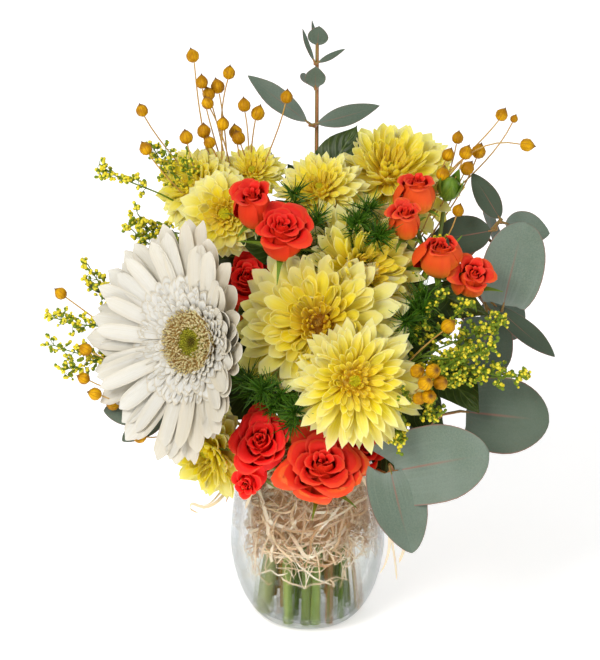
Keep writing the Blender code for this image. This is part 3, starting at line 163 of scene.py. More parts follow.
# Leafy stems: mouth, end, half-thickness, leaves (seen base, seen tip, facing, half-width, outline and, for
# some, a shade mark: painted shade that darkens a leaf seen from its shaded side).
EUCALYPTUS = {
    "eucalyptus_top": ((2, 12), (5, 150, -18), 1.6, [
        ((2, 107, -12), (-32, 132, -6), (10, 50), 6.5, LONG),
        ((2, 107, -12), (38, 116, -4), (-20, 55), 6.5, LONG),
        ((4, 126, -14), (4, 138, -2), (0, 40), 5.5, OVAL),
        ((4, 126, -14), (-2, 134, -30), (180, 40), 5.5, OVAL),
        ((4, 139, -16), (-4, 157, -14), (60, 20), 2.2, LONG),
        ((4, 139, -16), (20, 146, -14), (-20, 60), 2.2, LONG),
        ((5, 148, -18), (6, 159, -8), (0, 35), 5.5, OVAL),
        ((5, 148, -18), (2, 162, -20), (50, 20), 1.6, LONG),
        ((0, 70, -14), (-24, 92, -34), (200, 30), 9, OVAL),
        ((0, 70, -14), (30, 88, -40), (160, 30), 9, OVAL),
    ]),
    "eucalyptus_right": ((16, 9.5), (101, 58, 0), 1.6, [
        ((101, 10, 4), (112, 57, 12), (12, 18), 17, ROUND, 0.05),
        ((101, 56, 0), (86, 82, 0), (-10, 20), 6.2, OVAL, 0.9),
        ((101, 56, 0), (125, 50, -14), (10, 40), 9, OVAL, 0.2),
        ((98, 52, 0), (64, 46, 2), (0, 50), 11.5, OVAL, 0.9),
        ((95, 15, 2), (127, -16, 12), (40, 60), 8, LONG, 0.85),
        ((93, 10, 2), (91, -27, 2), (10, 15), 15, ROUND, 0.7),
        ((90, 0, -4), (112, 10, -36), (120, 20), 13, OVAL),
        ((97, 45, -2), (92, 66, -30), (170, 20), 11, OVAL),
    ]),
    "eucalyptus_low": ((12.5, -13), (49, -79, 42), 1.5, [
        ((42, -73, 43), (94, -63, 50), (8, 22), 20.5, CLASPING, 0.15),
        ((42, -70, 46), (53, -115, 52), (25, 20), 16, HEART, 0.1),
        ((79, -42, 20), (125, -47, 18), (18, 22), 20, ROUND, 0.65),
        ((60, -62, 22), (58, -40, 10), (30, 10), 9, OVAL),
    ]),
    "eucalyptus_left": ((-16, 9.8), (-84, 16, 10), 1.4, [
        ((-84, 16, 10), (-116, 22, 4), (0, 75), 5, LONG),
        ((-74, 10, 8), (-70, 52, 6), (-10, 20), 8, OVAL),
        ((-80, 12, 8), (-100, 10, -26), (-100, 40), 10, OVAL),
        ((-70, 8, 6), (-72, -12, -24), (-110, 10), 11, OVAL),
        ((-66, 6, 4), (-64, 30, -26), (-130, 30), 11, OVAL),
    ]),
    "eucalyptus_low_left": ((-19, 1), (-80, -42, 12), 1.4, [
        ((-80, -42, 12), (-106, -42, 12), (-30, 30), 8, OVAL),
        ((-72, -40, 12), (-96, -58, 18), (-30, 20), 7, OVAL),
        ((-64, -38, 8), (-70, -52, -18), (-90, 10), 10, OVAL),
        ((-58, -36, 6), (-76, -24, -18), (-110, 20), 10, OVAL),
    ]),
}
BROAD_LEAVES = {
    "broad_leaves_top": ((-2.5, 7), (6, 78, 2), 1.4, [
        ((4, 72, 2), (26, 107, -4), (-10, 45), 12, POINTED),
        ((2, 66, 0), (-10, 84, -24), (-150, 40), 9, POINTED),
        ((4, 60, -4), (30, 66, -36), (160, 30), 10, POINTED),
        ((2, 52, -6), (-32, 60, -34), (-160, 30), 10, POINTED),
        ((-6, 38, 18), (-36, 46, 36), (0, 30), 9, POINTED),
        ((-4, -14, 8), (-47, -30, 22), (-10, 20), 14, POINTED),
        ((-4, 16, 12), (-38, 8, 28), (-10, 20), 12, POINTED),
        ((-4, -20, 8), (-58, -46, 16), (-10, 20), 14, POINTED),
        ((-4, -4, 8), (-55, -10, 10), (-5, 20), 13, POINTED),
        ((-6, 34, 8), (-60, 40, 12), (0, 30), 11, POINTED),
    ]),
    "broad_leaves_right": ((16.5, -9.5), (66, -10, 24), 1.4, [
        ((58, 24, 24), (94, 6, 28), (20, 40), 10, POINTED),
        ((62, -12, 24), (88, -44, 34), (20, 40), 13, POINTED),
        ((58, -12, 22), (68, 26, 36), (20, 30), 14, POINTED),
        ((44, -16, 20), (62, -56, 26), (20, 30), 14, POINTED),
        ((40, -18, 20), (70, -50, 4), (30, 30), 14, POINTED),
        ((38, -20, 14), (66, 4, 2), (10, 30), 14, POINTED),
        ((50, -12, 18), (50, 40, 10), (0, 30), 13, POINTED),
        ((38, -20, 14), (41, -86, 20), (10, 20), 12, POINTED),
    ]),
    "broad_leaves_back": ((0, 18.5), (4, -18, -46), 1.4, [
        ((4, -18, -46), (4, 6, -66), (180, 50), 9, POINTED),
        ((4, -22, -42), (34, -10, -54), (160, 40), 9, POINTED),
        ((4, -22, -42), (-28, -14, -56), (-160, 40), 9, POINTED),
        ((3, -30, -36), (24, -46, -48), (160, 20), 9, POINTED),
        ((3, -30, -36), (-22, -46, -50), (-160, 20), 9, POINTED),
    ]),
}

# Sprays: where the stem passes the vase's mouth, where it ends, and the ends of its side twigs.
FLAX = {
    "flax_upper_left": ((-11.5, 13.5), (-40, 64, 0), [
        (-60, 143, -10), (-41, 134, -5), (-55, 129, 0), (-47, 127, -9), (-52, 118, 6), (-33, 117, 0),
        (-26, 113, -6), (-11, 121, 10), (-86, 114, 10), (-84, 94, 16), (-63, 100, 16), (-44, 107, 10),
        (-36, 100, 2), (-51.6, 123, -6), (-54, 103.5, 4), (-51, 97.5, 8), (-37.5, 103, -2),
    ]),
    "flax_lower_left": ((-17, -10), (-76, -22, 8), [
        (-128, 19, 16), (-115, -10, 22), (-116, -25, 20), (-110, -33, 26), (-101, -38, 16), (-87, -55, 26),
    ]),
    "flax_upper_right": ((10.5, 2.5), (62, 62, 4), [
        (101, 112, 0), (107.5, 110, -4, 0.55), (114, 96, 5, 0.95, (1, -0.15)), (78, 100, 0), (73, 91, 6),
        (82, 92, 13), (89, 93, 0), (83, 84, 8), (70, 81, 16), (78, 62, 16),
    ]),
    "flax_right": ((19, 4.5), (48, -22, 44), [
        (72, 2, 62, 1), (56, -21, 70, 1), (64, -21, 72, 1.05), (60, -27, 78, 1.05), (62, -34, 72, 1),
        (68, -27, 68, 1), (57, -35, 66, 0.9),
    ]),
}
SOLIDAGO = {
    "goldenrod_upper_left": ((-13, 8), (-64, 66, 6), [
        (-108, 86, 12), (-80, 94, 0), (-90, 56, 14), (-74, 93, 10), (-63, 88, 10), (-91, 52, 20),
        (-71, 46, 20), (-88, 60, 20),
    ]),
    "goldenrod_left": ((-18.5, 5), (-92, 2, 8), [
        (-130, 6, 18), (-126, -20, 20), (-114, 34, 12), (-131, -8, 22), (-106, 20, 12),
    ]),
    "goldenrod_right": ((19, -4.5), (58, -12, 46), [
        (110, -24, 42), (98, 6, 44), (94, -8, 58), (78, -26, 52), (66, -44, 54), (46, -58, 62),
        (108, -23, 45), (81, 13, 45), (96, 5, 45), (88, -10, 50), (76, -15, 55), (50, -32, 68),
        (66, 15, 50), (67, 43, 30),
    ]),
}
ASPARAGUS = {
    "asparagus_upper": ((3, 1), (18, 48, 22), [
        (32, 62, 38), (38, 49, 42), (25, 55, 42), (5, 58, 44), (-3, 46, 46), (36, 49, 42), (26, 53, 38),
        (-7, 70, 36),
    ]),
    "asparagus_low": ((-6.5, -13), (-16, -34, 44), [
        (-23, -30, 62), (-6, -42, 60), (-31, -25, 50), (-5, -41, 60), (-14, -34, 58),
    ]),
    "asparagus_right": ((14, -5), (52, 10, 32), [(60, 18, 46), (51, 5, 50), (58, 10, 48)]),
}


# Directions and lines


def vector(*values):
    return np.array(values, float)


def unit(line):
    return line / np.linalg.norm(line)


def seen(across, up, towards):
    """The point that lies there for the viewer."""
    tilt = math.radians(VIEW_TILT)
    rise = vector(0, math.sin(tilt), math.cos(tilt))
    near = vector(0, -math.cos(tilt), math.sin(tilt))
    return FLOWERS_MIDDLE + vector(across, 0, 0) + up * rise + towards * near


def facing(turn, tilt):
    """The unit vector turned to the right of the viewer and tilted above the horizon."""
    turn, tilt = math.radians(turn), math.radians(tilt)
    return vector(math.sin(turn) * math.cos(tilt), -math.cos(turn) * math.cos(tilt), math.sin(tilt))


def across_of(axis):
    """Two unit vectors that make a right-handed frame with the axis."""
    first = np.cross(axis, (0, 0, 1))
    if np.linalg.norm(first) < 0.05:
        first = np.cross(axis, (0, 1, 0))
    first = unit(first)
    return first, unit(np.cross(axis, first))


def outward(first, second, turn):
    """The direction at a turn in the plane of two unit vectors."""
    return first * math.cos(turn) + second * math.sin(turn)


def scattered(luck, spread):
    """A vector of three normal random numbers."""
    return vector(*[luck.gauss(0, spread) for _ in range(3)])


def nudged(luck, reach):
    """A vector of three even random numbers, each from -reach to reach."""
    return vector(*[luck.uniform(-reach, reach) for _ in range(3)])


def bent(start, end, leave, arrive, steps):
    """Points on one smooth curve that leaves and arrives along two directions."""
    reach = np.linalg.norm(end - start) / 3
    first, second = start + leave * reach, end - arrive * reach
    t = np.linspace(0, 1, steps + 1)[:, None]
    s = 1 - t
    return start * s**3 + first * 3 * t * s**2 + second * 3 * t**2 * s + end * t**3


def smooth_line(points, count):
    """A smooth line of count points through a few given ones."""
    points = np.asarray(points, float)
    ends = np.vstack([2 * points[0] - points[1], points, 2 * points[-1] - points[-2]])
    places = np.linspace(0, len(points) - 1, count)
    index = np.minimum(places.astype(int), len(points) - 2)
    t = (places - index)[:, None]
    a, b, c, d = (ends[index + k] for k in range(4))
    return 0.5 * (2 * b + (c - a) * t + (2 * a - 5 * b + 4 * c - d) * t**2 + (3 * b - a - 3 * c + d) * t**3)


def step(low, high, value):
    """0 below low and 1 above high, with a soft step between."""
    t = np.clip((value - low) / (high - low), 0, 1)
    return t * t * (3 - 2 * t)


def vase_inner(height):
    """Half-width of the space in the vase at a height."""
    widths, heights = zip(*VASE_OUTLINE)
    return float(np.interp(height, heights, widths)) - VASE_WALL


# Modelled shapes, and the piles of their copies that become pieces


class Shape:
    """A modelled mesh read as arrays, which its copies are laid out from."""

    def __init__(self, source):
        mesh = source.data
        self.points = np.array([tuple(v.co) for v in mesh.vertices])
        self.faces = [tuple(face.vertices) for face in mesh.polygons]
        bpy.data.objects.remove(source)
        bpy.data.meshes.remove(mesh)
        self.uv = self.points[:, :2] * 0.5 + 0.5
        self.inner = [all(self.points[k][2] > 0 for k in face) for face in self.faces]


def slab(across, along):
    """A flat sheet with a thickness: u from -1 to 1 across, v from 0 to 1 along, w -1 or 1 through."""
    bpy.ops.object.select_all(action="DESELECT")
    bpy.ops.mesh.primitive_grid_add(x_subdivisions=across, y_subdivisions=along, size=2)
    sheet = bpy.context.object
    thickness = sheet.modifiers.new("thickness", "SOLIDIFY")
    thickness.thickness = 0.2
    thickness.offset = 0
    bpy.ops.object.modifier_apply(modifier="thickness")
    shape = Shape(sheet)
    shape.u = shape.points[:, 0]
    shape.v = shape.points[:, 1] * 0.5 + 0.5
    shape.w = np.sign(shape.points[:, 2])
    return shape


class Pile:
    """Copies of modelled shapes, gathered until they become one piece."""

    def __init__(self):
        self.points, self.uvs, self.shades, self.depths = [], [], [], []
        self.faces, self.slots, self.count = [], [], 0

    def add(self, points, faces, uv, shade=0.5, depth=0.5, slots=0):
        self.points.append(points)
        self.uvs.append(uv)
        self.shades.append(np.full(len(points), shade))
        self.depths.append(np.broadcast_to(depth, len(points)))
        self.faces.extend([tuple(k + self.count for k in face) for face in faces])
        self.slots.extend(slots if isinstance(slots, list) else [slots] * len(faces))
        self.count += len(points)

    def piece(self, name, finishes, slot, *nodes, sharp=50):
        """Makes the pile one object that stands for the CAD nodes."""
        mesh = bpy.data.meshes.new(name)
        mesh.from_pydata(np.vstack(self.points) * MM, [], self.faces)
        mesh.polygons.foreach_set("material_index", self.slots)
        corners = np.empty(len(mesh.loops), np.int32)
        mesh.loops.foreach_get("vertex_index", corners)
        layer = mesh.uv_layers.new(name="UVMap")
        layer.data.foreach_set("uv", np.vstack(self.uvs)[corners].astype(np.float32).ravel())
        for mark, values in (("shade", self.shades), ("depth", self.depths)):
            attribute = mesh.attributes.new(mark, "FLOAT", "POINT")
            attribute.data.foreach_set("value", np.concatenate(values).astype(np.float32))
        for finish in finishes:
            mesh.materials.append(finish)
        body = bpy.data.objects.new(name, mesh)
        bpy.context.collection.objects.link(body)
        return settle(body, slot, *nodes, sharp=sharp)


def settle(body, slot, *nodes, sharp=50):
    bpy.ops.object.select_all(action="DESELECT")
    body.select_set(True)
    bpy.context.view_layer.objects.active = body
    bpy.ops.object.shade_smooth_by_angle(angle=math.radians(sharp))
    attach(body, "root")
    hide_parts(*nodes)
    return body


def tube(pile, path, radii, sides, shade=0.5, depth=0.5, slot=0):
    """Adds a round stem along a path, closed at both ends."""
    path, rows = np.asarray(path, float), len(path)
    radii = np.broadcast_to(radii, rows)
    ahead = np.gradient(path, axis=0)
    ahead /= np.linalg.norm(ahead, axis=1)[:, None]
    side = across_of(ahead[0])[0]
    turns = np.linspace(0, 2 * math.pi, sides, endpoint=False)
    rings = []
    for k in range(rows):
        side = unit(side - ahead[k] * side.dot(ahead[k]))
        other = np.cross(ahead[k], side)
        ring = np.outer(np.cos(turns), side) + np.outer(np.sin(turns), other)
        rings.append(path[k] + ring * radii[k])
    faces = [tuple(range(sides))[::-1]]
    for low in range(0, (rows - 1) * sides, sides):
        for k in range(sides):
            after = (k + 1) % sides
            faces.append((low + k, low + after, low + sides + after, low + sides + k))
    faces.append(tuple(range((rows - 1) * sides, rows * sides)))
    uv = np.column_stack([np.tile(turns / (2 * math.pi), rows), np.repeat(np.linspace(0, 1, rows), sides)])
    if np.ndim(depth):
        depth = np.repeat(depth, sides)
    pile.add(np.vstack(rings), faces, uv, shade, depth, slot)


def blade(sheet, root, heading, face, length, half, outline, bend, cup, thick, **form):
    """The points of a petal or leaf: a copy of the sheet from root along heading, with its upper side
    towards face. outline gives the half-width up its length as shares. bend gives the angles in
    degrees, towards face, that it has at even places from root to tip. cup is the angle in radians
    to which its edges curl up. form holds tip, by how much its end is rounded, and what a kind adds:
    lobe, notch, grooves, waves, twist and places."""
    side = unit(np.cross(heading, face))
    face = np.cross(side, heading)
    u, w = sheet.u, sheet.w
    v = form.get("places", sheet.v)
    lobes = form.get("lobe", 0) * np.abs(u) ** 0.9 * step(0, 0.12, v) * (1 - step(0.12, 0.6, v))
    notch = form.get("notch", 0) * (np.cos(u * math.pi) - 1) * (v > 0.99)
    v = v - form["tip"] * u * u * step(0.45, 1, v) + notch
    fine = np.linspace(0, 1, BLADE_STEPS + 1)
    bends = smooth_line([(degrees, 0, 0) for degrees in bend], BLADE_STEPS + 1) if len(bend) > 2 else None
    angle = np.radians(np.interp(fine, (0, 1), bend) if bends is None else bends[:, 0])
    run, lift = summed(np.cos(angle), length), summed(np.sin(angle), length)
    turn = np.interp(v, fine, angle)
    width = half * np.interp(v, *outline)
    x = width * np.sin(cup * u) / cup
    z = width * (1 - np.cos(cup * u)) / cup
    grooves, deep = form.get("grooves", (0, 0))
    z = z + deep * np.cos(u * math.pi * grooves) * step(0, 0.2, v) * (1 - 0.6 * v)
    count, high, phase = form.get("waves", (0, 0, 0))
    z = z + high * np.sin(v * count * 2 * math.pi + phase + np.sign(u)) * np.abs(u) ** 1.5 * step(0, 0.3, v)
    twist = form.get("twist", 0) * v
    x, z = x * np.cos(twist) - z * np.sin(twist), x * np.sin(twist) + z * np.cos(twist)
    skin = thick / 2 * (1 - 0.55 * np.abs(u) ** 2) * (1 - 0.35 * v) * w
    up = np.outer(np.cos(turn), face) - np.outer(np.sin(turn), heading)
    points = root + np.outer(np.interp(v, fine, run) - lobes * length, heading)
    points = points + np.outer(np.interp(v, fine, lift), face)
    points += np.outer(x - np.sin(cup * u) * skin, side) + up * (z + np.cos(cup * u) * skin)[:, None]
    return points


def summed(slopes, length):
    """How far a line has gone at each of its even steps, from its slope there."""
    return np.concatenate([[0], np.cumsum((slopes[1:] + slopes[:-1]) / 2)]) * length / BLADE_STEPS


# Finishes


class Wire:
    """A shader socket that Python's operators work on, each adding its Math node."""

    def __init__(self, tree, socket=None):
        self.tree, self.socket = tree, socket

    def make(self, kind, settings=None, sockets=None, output=0):
        """A new node, with its settings made first and then the values or links of its sockets."""
        node = self.tree.nodes.new(kind)
        for name, value in (settings or {}).items():
            setattr(node, name, value)
        for name, value in (sockets or {}).items():
            if isinstance(value, Wire):
                self.tree.links.new(value.socket, node.inputs[name])
            else:
                node.inputs[name].default_value = value
        return Wire(self.tree, node.outputs[output])

    def maths(self, operation, *values):
        return self.make("ShaderNodeMath", {"operation": operation}, dict(enumerate(values)))

    def __add__(self, other):
        return self.maths("ADD", self, other)

    def __radd__(self, other):
        return self.maths("ADD", other, self)

    def __sub__(self, other):
        return self.maths("SUBTRACT", self, other)

    def __rsub__(self, other):
        return self.maths("SUBTRACT", other, self)

    def __mul__(self, other):
        return self.maths("MULTIPLY", self, other)

    def __rmul__(self, other):
        return self.maths("MULTIPLY", other, self)

    def __abs__(self):
        return self.maths("ABSOLUTE", self)

    def sine(self):
        return self.maths("SINE", self)

    def soft(self, low, high):
        """0 where the value is low and 1 where it is high, with a soft step between."""
        settings = {"interpolation_type": "SMOOTHSTEP"}
        sockets = {"Value": self, "From Min": low, "From Max": high}
        return self.make("ShaderNodeMapRange", settings, sockets)

    def mix(self, first, second):
        """The colour that goes from first to second as this value goes from 0 to 1."""
        settings = {"data_type": "RGBA", "blend_type": "MIX"}
        return self.make("ShaderNodeMix", settings, {0: self, 6: rgba(first), 7: rgba(second)}, 2)


def rgba(colour):
    return colour if isinstance(colour, Wire) else (*tuple(colour)[:3], 1.0)


SOFT_GLOSS = 0.22  # the specular level of a finish that sets none of its own


class Finish:
    """A new material with one Principled shader, and what its pattern is drawn from."""

    def __init__(self, name, **values):
        self.material = bpy.data.materials.new(name)
        self.material.use_nodes = True
        self.tree = self.material.node_tree
        self.tree.nodes.clear()
        self.start = Wire(self.tree)
        self.shader = self.tree.nodes.new("ShaderNodeBsdfPrincipled")
        output = self.tree.nodes.new("ShaderNodeOutputMaterial")
        self.tree.links.new(self.shader.outputs[0], output.inputs[0])
        self.shader.inputs["Specular IOR Level"].default_value = SOFT_GLOSS
        for label, value in values.items():
            socket = label.replace("_", " ").title().replace("Ior", "IOR")
            self.shader.inputs[socket].default_value = value
        self.object = self.start.make("ShaderNodeTexCoord", output=3)
        place = self.start.make("ShaderNodeTexCoord", output=2)
        self.u = self.start.make("ShaderNodeSeparateXYZ", None, {0: place}, 0)
        self.v = self.start.make("ShaderNodeSeparateXYZ", None, {0: place}, 1)
        self.uv = place
        self.turned = self.u * (2 * math.pi)
        self.shade = self.start.make("ShaderNodeAttribute", {"attribute_name": "shade"}, output=2)
        self.depth = self.start.make("ShaderNodeAttribute", {"attribute_name": "depth"}, output=2)

    def noise(self, scale, detail=3, stretch=None):
        """Fine random change, over the object or stretched along the piece's own sheet."""
        place = self.object
        if stretch:
            place = self.start.make("ShaderNodeMapping", None, {"Vector": self.uv, "Scale": (*stretch, 1)})
            offset = self.start.make("ShaderNodeCombineXYZ", None, {0: self.shade * 37, 1: self.shade * 91})
            place = self.start.make("ShaderNodeVectorMath", {"operation": "ADD"}, {0: place, 1: offset})
        sockets = {"Vector": place, "Scale": scale, "Detail": detail}
        return self.start.make("ShaderNodeTexNoise", None, sockets)

    def colour(self, wire):
        self.tree.links.new(wire.socket, self.shader.inputs["Base Color"])

    def bump(self, height, strength, distance):
        sockets = {"Height": height, "Strength": strength, "Distance": distance}
        normal = self.start.make("ShaderNodeBump", None, sockets)
        self.tree.links.new(normal.socket, self.shader.inputs["Normal"])


def mum_finish(colours):
    """Lemon petals, whiter at the tip and golden towards the heart, with fine lengthwise ridges."""
    finish = Finish(
        "chrysanthemum petal", roughness=0.6, specular_ior_level=0.15,
        subsurface_weight=0.5, subsurface_scale=0.005,
    )
    finish.shader.inputs["Subsurface Radius"].default_value = (1.0, 0.7, 0.1)
    tip = (finish.v * finish.depth).soft(0.45, 1.05)
    edge = abs(finish.u * 2 - 1).soft(0.6, 1.0) * finish.v.soft(0.4, 0.9) * finish.depth
    body = finish.depth.soft(0.2, 0.7).mix(colours.mum_heart, colours.mum_petal)
    root = finish.v.soft(0.0, 0.5).mix(colours.mum_heart, body)
    root = finish.depth.soft(0.22, 0.0).mix(root, colours.mum_deep)
    pale = tip.mix(root, colours.mum_tip)
    ridges = finish.noise(1, 2, (14, 0.8))
    streaked = (ridges.soft(0.4, 0.75) * 0.25).mix(pale, colours.mum_tip)
    edged = (edge * 0.6).mix(streaked, colours.mum_tip)
    toned = (finish.shade * finish.depth * 0.25).mix(edged, colours.mum_tip)
    finish.colour(finish.depth.soft(-0.1, -0.9).mix(toned, colours.mum_eye))
    finish.bump(ridges, 0.35, 0.0004)
    return finish.material


def gerbera_finish(colours):
    """Warm white rays with fine lengthwise veins and painted shade at their roots, along their sides and on
    the viewer's right; the crown's short ones have beige rims, partly painted shade.
    """
    finish = Finish(
        "gerbera ray", roughness=0.55, specular_ior_level=0.25,
        subsurface_weight=0.3, subsurface_scale=0.003,
    )
    finish.shader.inputs["Subsurface Radius"].default_value = (1.0, 0.9, 0.72)
    veins = finish.noise(1, 3, (16, 0.5))
    body = veins.soft(0.25, 0.75).mix(colours.gerbera_vein, colours.gerbera_ray)
    # Painted shade along the sides of the rays, where they overlap.
    sides = abs(finish.u * 2 - 1).soft(0.5, 1.0) * 0.35 * finish.depth
    body = sides.mix(body, colours.gerbera_shade)
    # Painted shade at the roots of the rays, deep in the bloom.
    root = finish.v.soft(-0.1, 0.55).mix(colours.gerbera_shade, body)
    # Painted shade by the shade mark, which is larger on the rays to the viewer's right.
    root = (finish.depth * finish.shade).mix(root, colours.gerbera_shade)
    crown = 1 - finish.depth
    # The crown florets' beige rims: partly their own colour, partly painted shade between them.
    rim = (finish.v.soft(0.86, 1.0) + abs(finish.u * 2 - 1).soft(0.82, 1.0) * 0.6) * crown
    finish.colour((rim * 0.8).mix(root, colours.gerbera_shade))
    finish.bump(veins, 0.3, 0.0005)
    return finish.material


def disc_finish(colours):
    """Cream florets with brown roots and a brown cushion between them, painted shade, and an olive eye that
    is dark in the middle.
    """
    finish = Finish("gerbera disc", roughness=0.6, subsurface_weight=0.1, subsurface_scale=0.001)
    cream = finish.shade.mix(colours.disc_cream, colours.disc_pale)
    # Painted shade: the florets turn brown towards their roots, where they crowd together.
    root_shaded = finish.v.soft(0.1, 0.6).mix(colours.disc_root_shade, cream)
    green = finish.shade.mix(colours.disc_eye, [c * 1.6 for c in colours.disc_eye])
    body = finish.depth.soft(0.45, 0.6).mix(green, root_shaded)
    finish.colour(finish.depth.soft(0.22, 0.02).mix(body, colours.disc_dark))
    finish.bump(finish.noise(900), 0.3, 0.0003)
    return finish.material


def rose_finish(colours, inside):
    """Velvety petals: red inside, darker deep in the bloom as painted shade, coral or orange with a yellow
    foot outside, by the depth mark; their rims lighter, partly a painted highlight.
    """
    name = "rose petal inside" if inside else "rose petal outside"
    finish = Finish(
        name, roughness=0.6, specular_ior_level=0.15,
        subsurface_weight=0.2, subsurface_scale=0.002,
    )
    finish.shader.inputs["Subsurface Radius"].default_value = (1.0, 0.2, 0.08)
    veins = finish.noise(1, 3, (9, 1.2))
    bright = finish.depth.mix(colours.rose_red, colours.rose_coral)
    if inside:
        # Painted shade: the inner faces darken towards their foot, deep in the bloom.
        body = finish.v.soft(0.35, 0.95).mix(colours.rose_dark_and_shade, bright)
    else:
        warm = finish.depth.mix(colours.rose_red, colours.rose_orange)
        body = (finish.v.soft(0.5, 0.1) * finish.depth).mix(warm, colours.rose_foot)
    # Lighter rims: partly the petals' own orange edge, partly a painted highlight.
    edge = (finish.v.soft(0.90, 1.0) * 0.35).mix(body, colours.rose_rim_and_highlight)
    lit = (veins.soft(0.4, 0.7) * 0.25).mix(edge, bright)
    # The shade mark darkens some petals at random, and the upper roses more.
    finish.colour((finish.shade * 0.5).mix(lit, colours.rose_dark_and_shade))
    finish.bump(veins, 0.3, 0.0005)
    return finish.material


def eucalyptus_finish(colours):
    """Glaucous leaves with fine speckles, a pink midrib and a thin brown margin; the shade mark darkens them,
    painted shade on some leaves and a random tone on the rest.
    """
    finish = Finish(
        "eucalyptus leaf", roughness=0.6, specular_ior_level=0.3,
        subsurface_weight=0.05, subsurface_scale=0.001,
    )
    off = abs(finish.u * 2 - 1)
    mottle = finish.noise(1300, 3).soft(0.3, 0.7).mix(colours.eucalyptus_dark, colours.eucalyptus_leaf)
    cloud = (finish.noise(40, 2).soft(0.35, 0.75) * 0.3).mix(mottle, colours.eucalyptus_bloom)
    streaks = finish.noise(1, 2, (26, 0.6)).soft(0.45, 0.7) * finish.v.soft(0.75, 0.1)
    powder = (streaks * 0.28 + finish.v.soft(0.3, 0.0) * 0.55).mix(cloud, colours.eucalyptus_bloom)
    # Painted shade: leaves seen from their shaded side are darkened by the shade mark; the others get a
    # random tone.
    deep = (finish.shade * 0.9).mix(powder, colours.eucalyptus_tone_and_shade)
    rib = off.soft(0.05, 0.0) * finish.v.soft(0.85, 0.2)
    ribbed = (rib * 0.7).mix(deep, colours.eucalyptus_rib)
    finish.colour((off.soft(0.955, 1.0) * 0.7).mix(ribbed, colours.eucalyptus_rib))
    finish.bump(off.soft(0.0, 0.1) + finish.noise(300, 2) * 0.1, 0.2, 0.0004)
    return finish.material


def leaf_finish(colours):
    """Dark green broad leaves with a pale midrib and net veins."""
    finish = Finish("broad leaf", roughness=0.4, subsurface_weight=0.05, subsurface_scale=0.001)
    off = abs(finish.u * 2 - 1)
    body = finish.noise(90, 4).soft(0.3, 0.75).mix(colours.leaf_dark, colours.leaf_green)
    slant = (finish.v * 45 - off * 16).sine()
    veined = (slant.soft(0.85, 1.0) * 0.4).mix(body, colours.leaf_vein)
    finish.colour(((1 - off.soft(0.0, 0.07)) * 0.7).mix(veined, colours.leaf_vein))
    finish.bump(slant * 0.4 + off.soft(0.0, 0.15), 0.4, 0.0006)
    return finish.material


def stem_finish(name, light, dark, spots=0.3):
    """A round stem with lengthwise fibres and small specks."""
    finish = Finish(name, roughness=0.45, subsurface_weight=0.05, subsurface_scale=0.001)
    fibres = finish.noise(1, 3, (9, 2)).soft(0.3, 0.7).mix(dark, light)
    specks = finish.noise(700, 2).soft(0.6, 0.75) * spots
    finish.colour(specks.mix(fibres, dark))
    finish.bump(finish.noise(1, 3, (12, 3)), 0.3, 0.0003)
    return finish.material


def pod_finish(colours):
    """Dry golden capsules with darker lengthwise lines, brown at the tip and in patches."""
    finish = Finish("flax pod", roughness=0.5, specular_ior_level=0.12)
    lines = (finish.turned * 5).sine()
    gold = finish.noise(220, 3).soft(0.3, 0.7).mix(colours.pod_brown, colours.pod_gold)
    lined = (abs(lines).soft(0.5, 0.0) * 0.85).mix(gold, colours.pod_brown)
    toned = (finish.shade.soft(0.5, 1.0) * 0.5).mix(lined, colours.pod_brown)
    finish.colour(finish.depth.soft(0.74, 0.92).mix(toned, colours.pod_tip))
    finish.bump(abs(lines), 0.3, 0.0004)
    return finish.material


def goldenrod_finish(colours):
    """Yellow florets over green bracts, by the depth mark."""
    finish = Finish("goldenrod floret", roughness=0.6)
    yellow = finish.shade.mix(colours.goldenrod_yellow, colours.goldenrod_pale)
    finish.colour(finish.depth.soft(0.3, 0.6).mix(colours.goldenrod_green, yellow))
    finish.bump(finish.noise(900), 0.3, 0.0002)
    return finish.material


def fern_finish(colours):
    """Deep green needles, lighter at the tip."""
    finish = Finish("fern needle", roughness=0.5)
    toned = finish.shade.mix(colours.fern_dark, colours.fern_green)
    finish.colour((finish.v.soft(0.4, 1.0) * 0.5).mix(toned, colours.fern_tip))
    return finish.material


def wool_finish(colours):
    """Straw-coloured shavings with fine grain, some of them lighter; the darkest tan also paints shade on the
    wool's core.
    """
    finish = Finish("wood wool", roughness=0.65, subsurface_weight=0.1, subsurface_scale=0.001)
    grain = finish.noise(1, 3, (10, 0.8))
    body = finish.shade.mix(colours.wool_tan_and_shade, colours.wool_straw)
    light = (finish.shade.soft(0.7, 1.0) * 0.7).mix(body, colours.wool_pale)
    finish.colour((grain.soft(0.45, 0.7) * 0.5).mix(light, colours.wool_pale))
    finish.bump(grain, 0.4, 0.0003)
    return finish.material


def glass_finish(colours):
    """Clear glass with a faint cool tint, seen through straight and cloudier at its edges, where a darker
    blue-grey is painted for the darker surroundings seen through them.
    """
    tint = (*colours.glass_tint, 1)
    finish = Finish(
        "clear glass", roughness=0.0, transmission_weight=1.0, ior=1.12,
        base_color=tint, coat_weight=0.5,
    )
    edge = finish.start.make("ShaderNodeLayerWeight", None, {"Blend": 0.3}, 1)
    finish.tree.links.new((edge.soft(0.1, 0.85) * 0.7 + 0.17).socket, finish.shader.inputs["Alpha"])
    # Painted reflection: the colour darkens to blue-grey where the glass is seen edge on.
    finish.colour(edge.soft(0.15, 0.75).mix(colours.glass_tint, colours.glass_edge_shade))
    finish.bump(finish.noise(25, 1), 0.05, 0.001)
    return finish.material


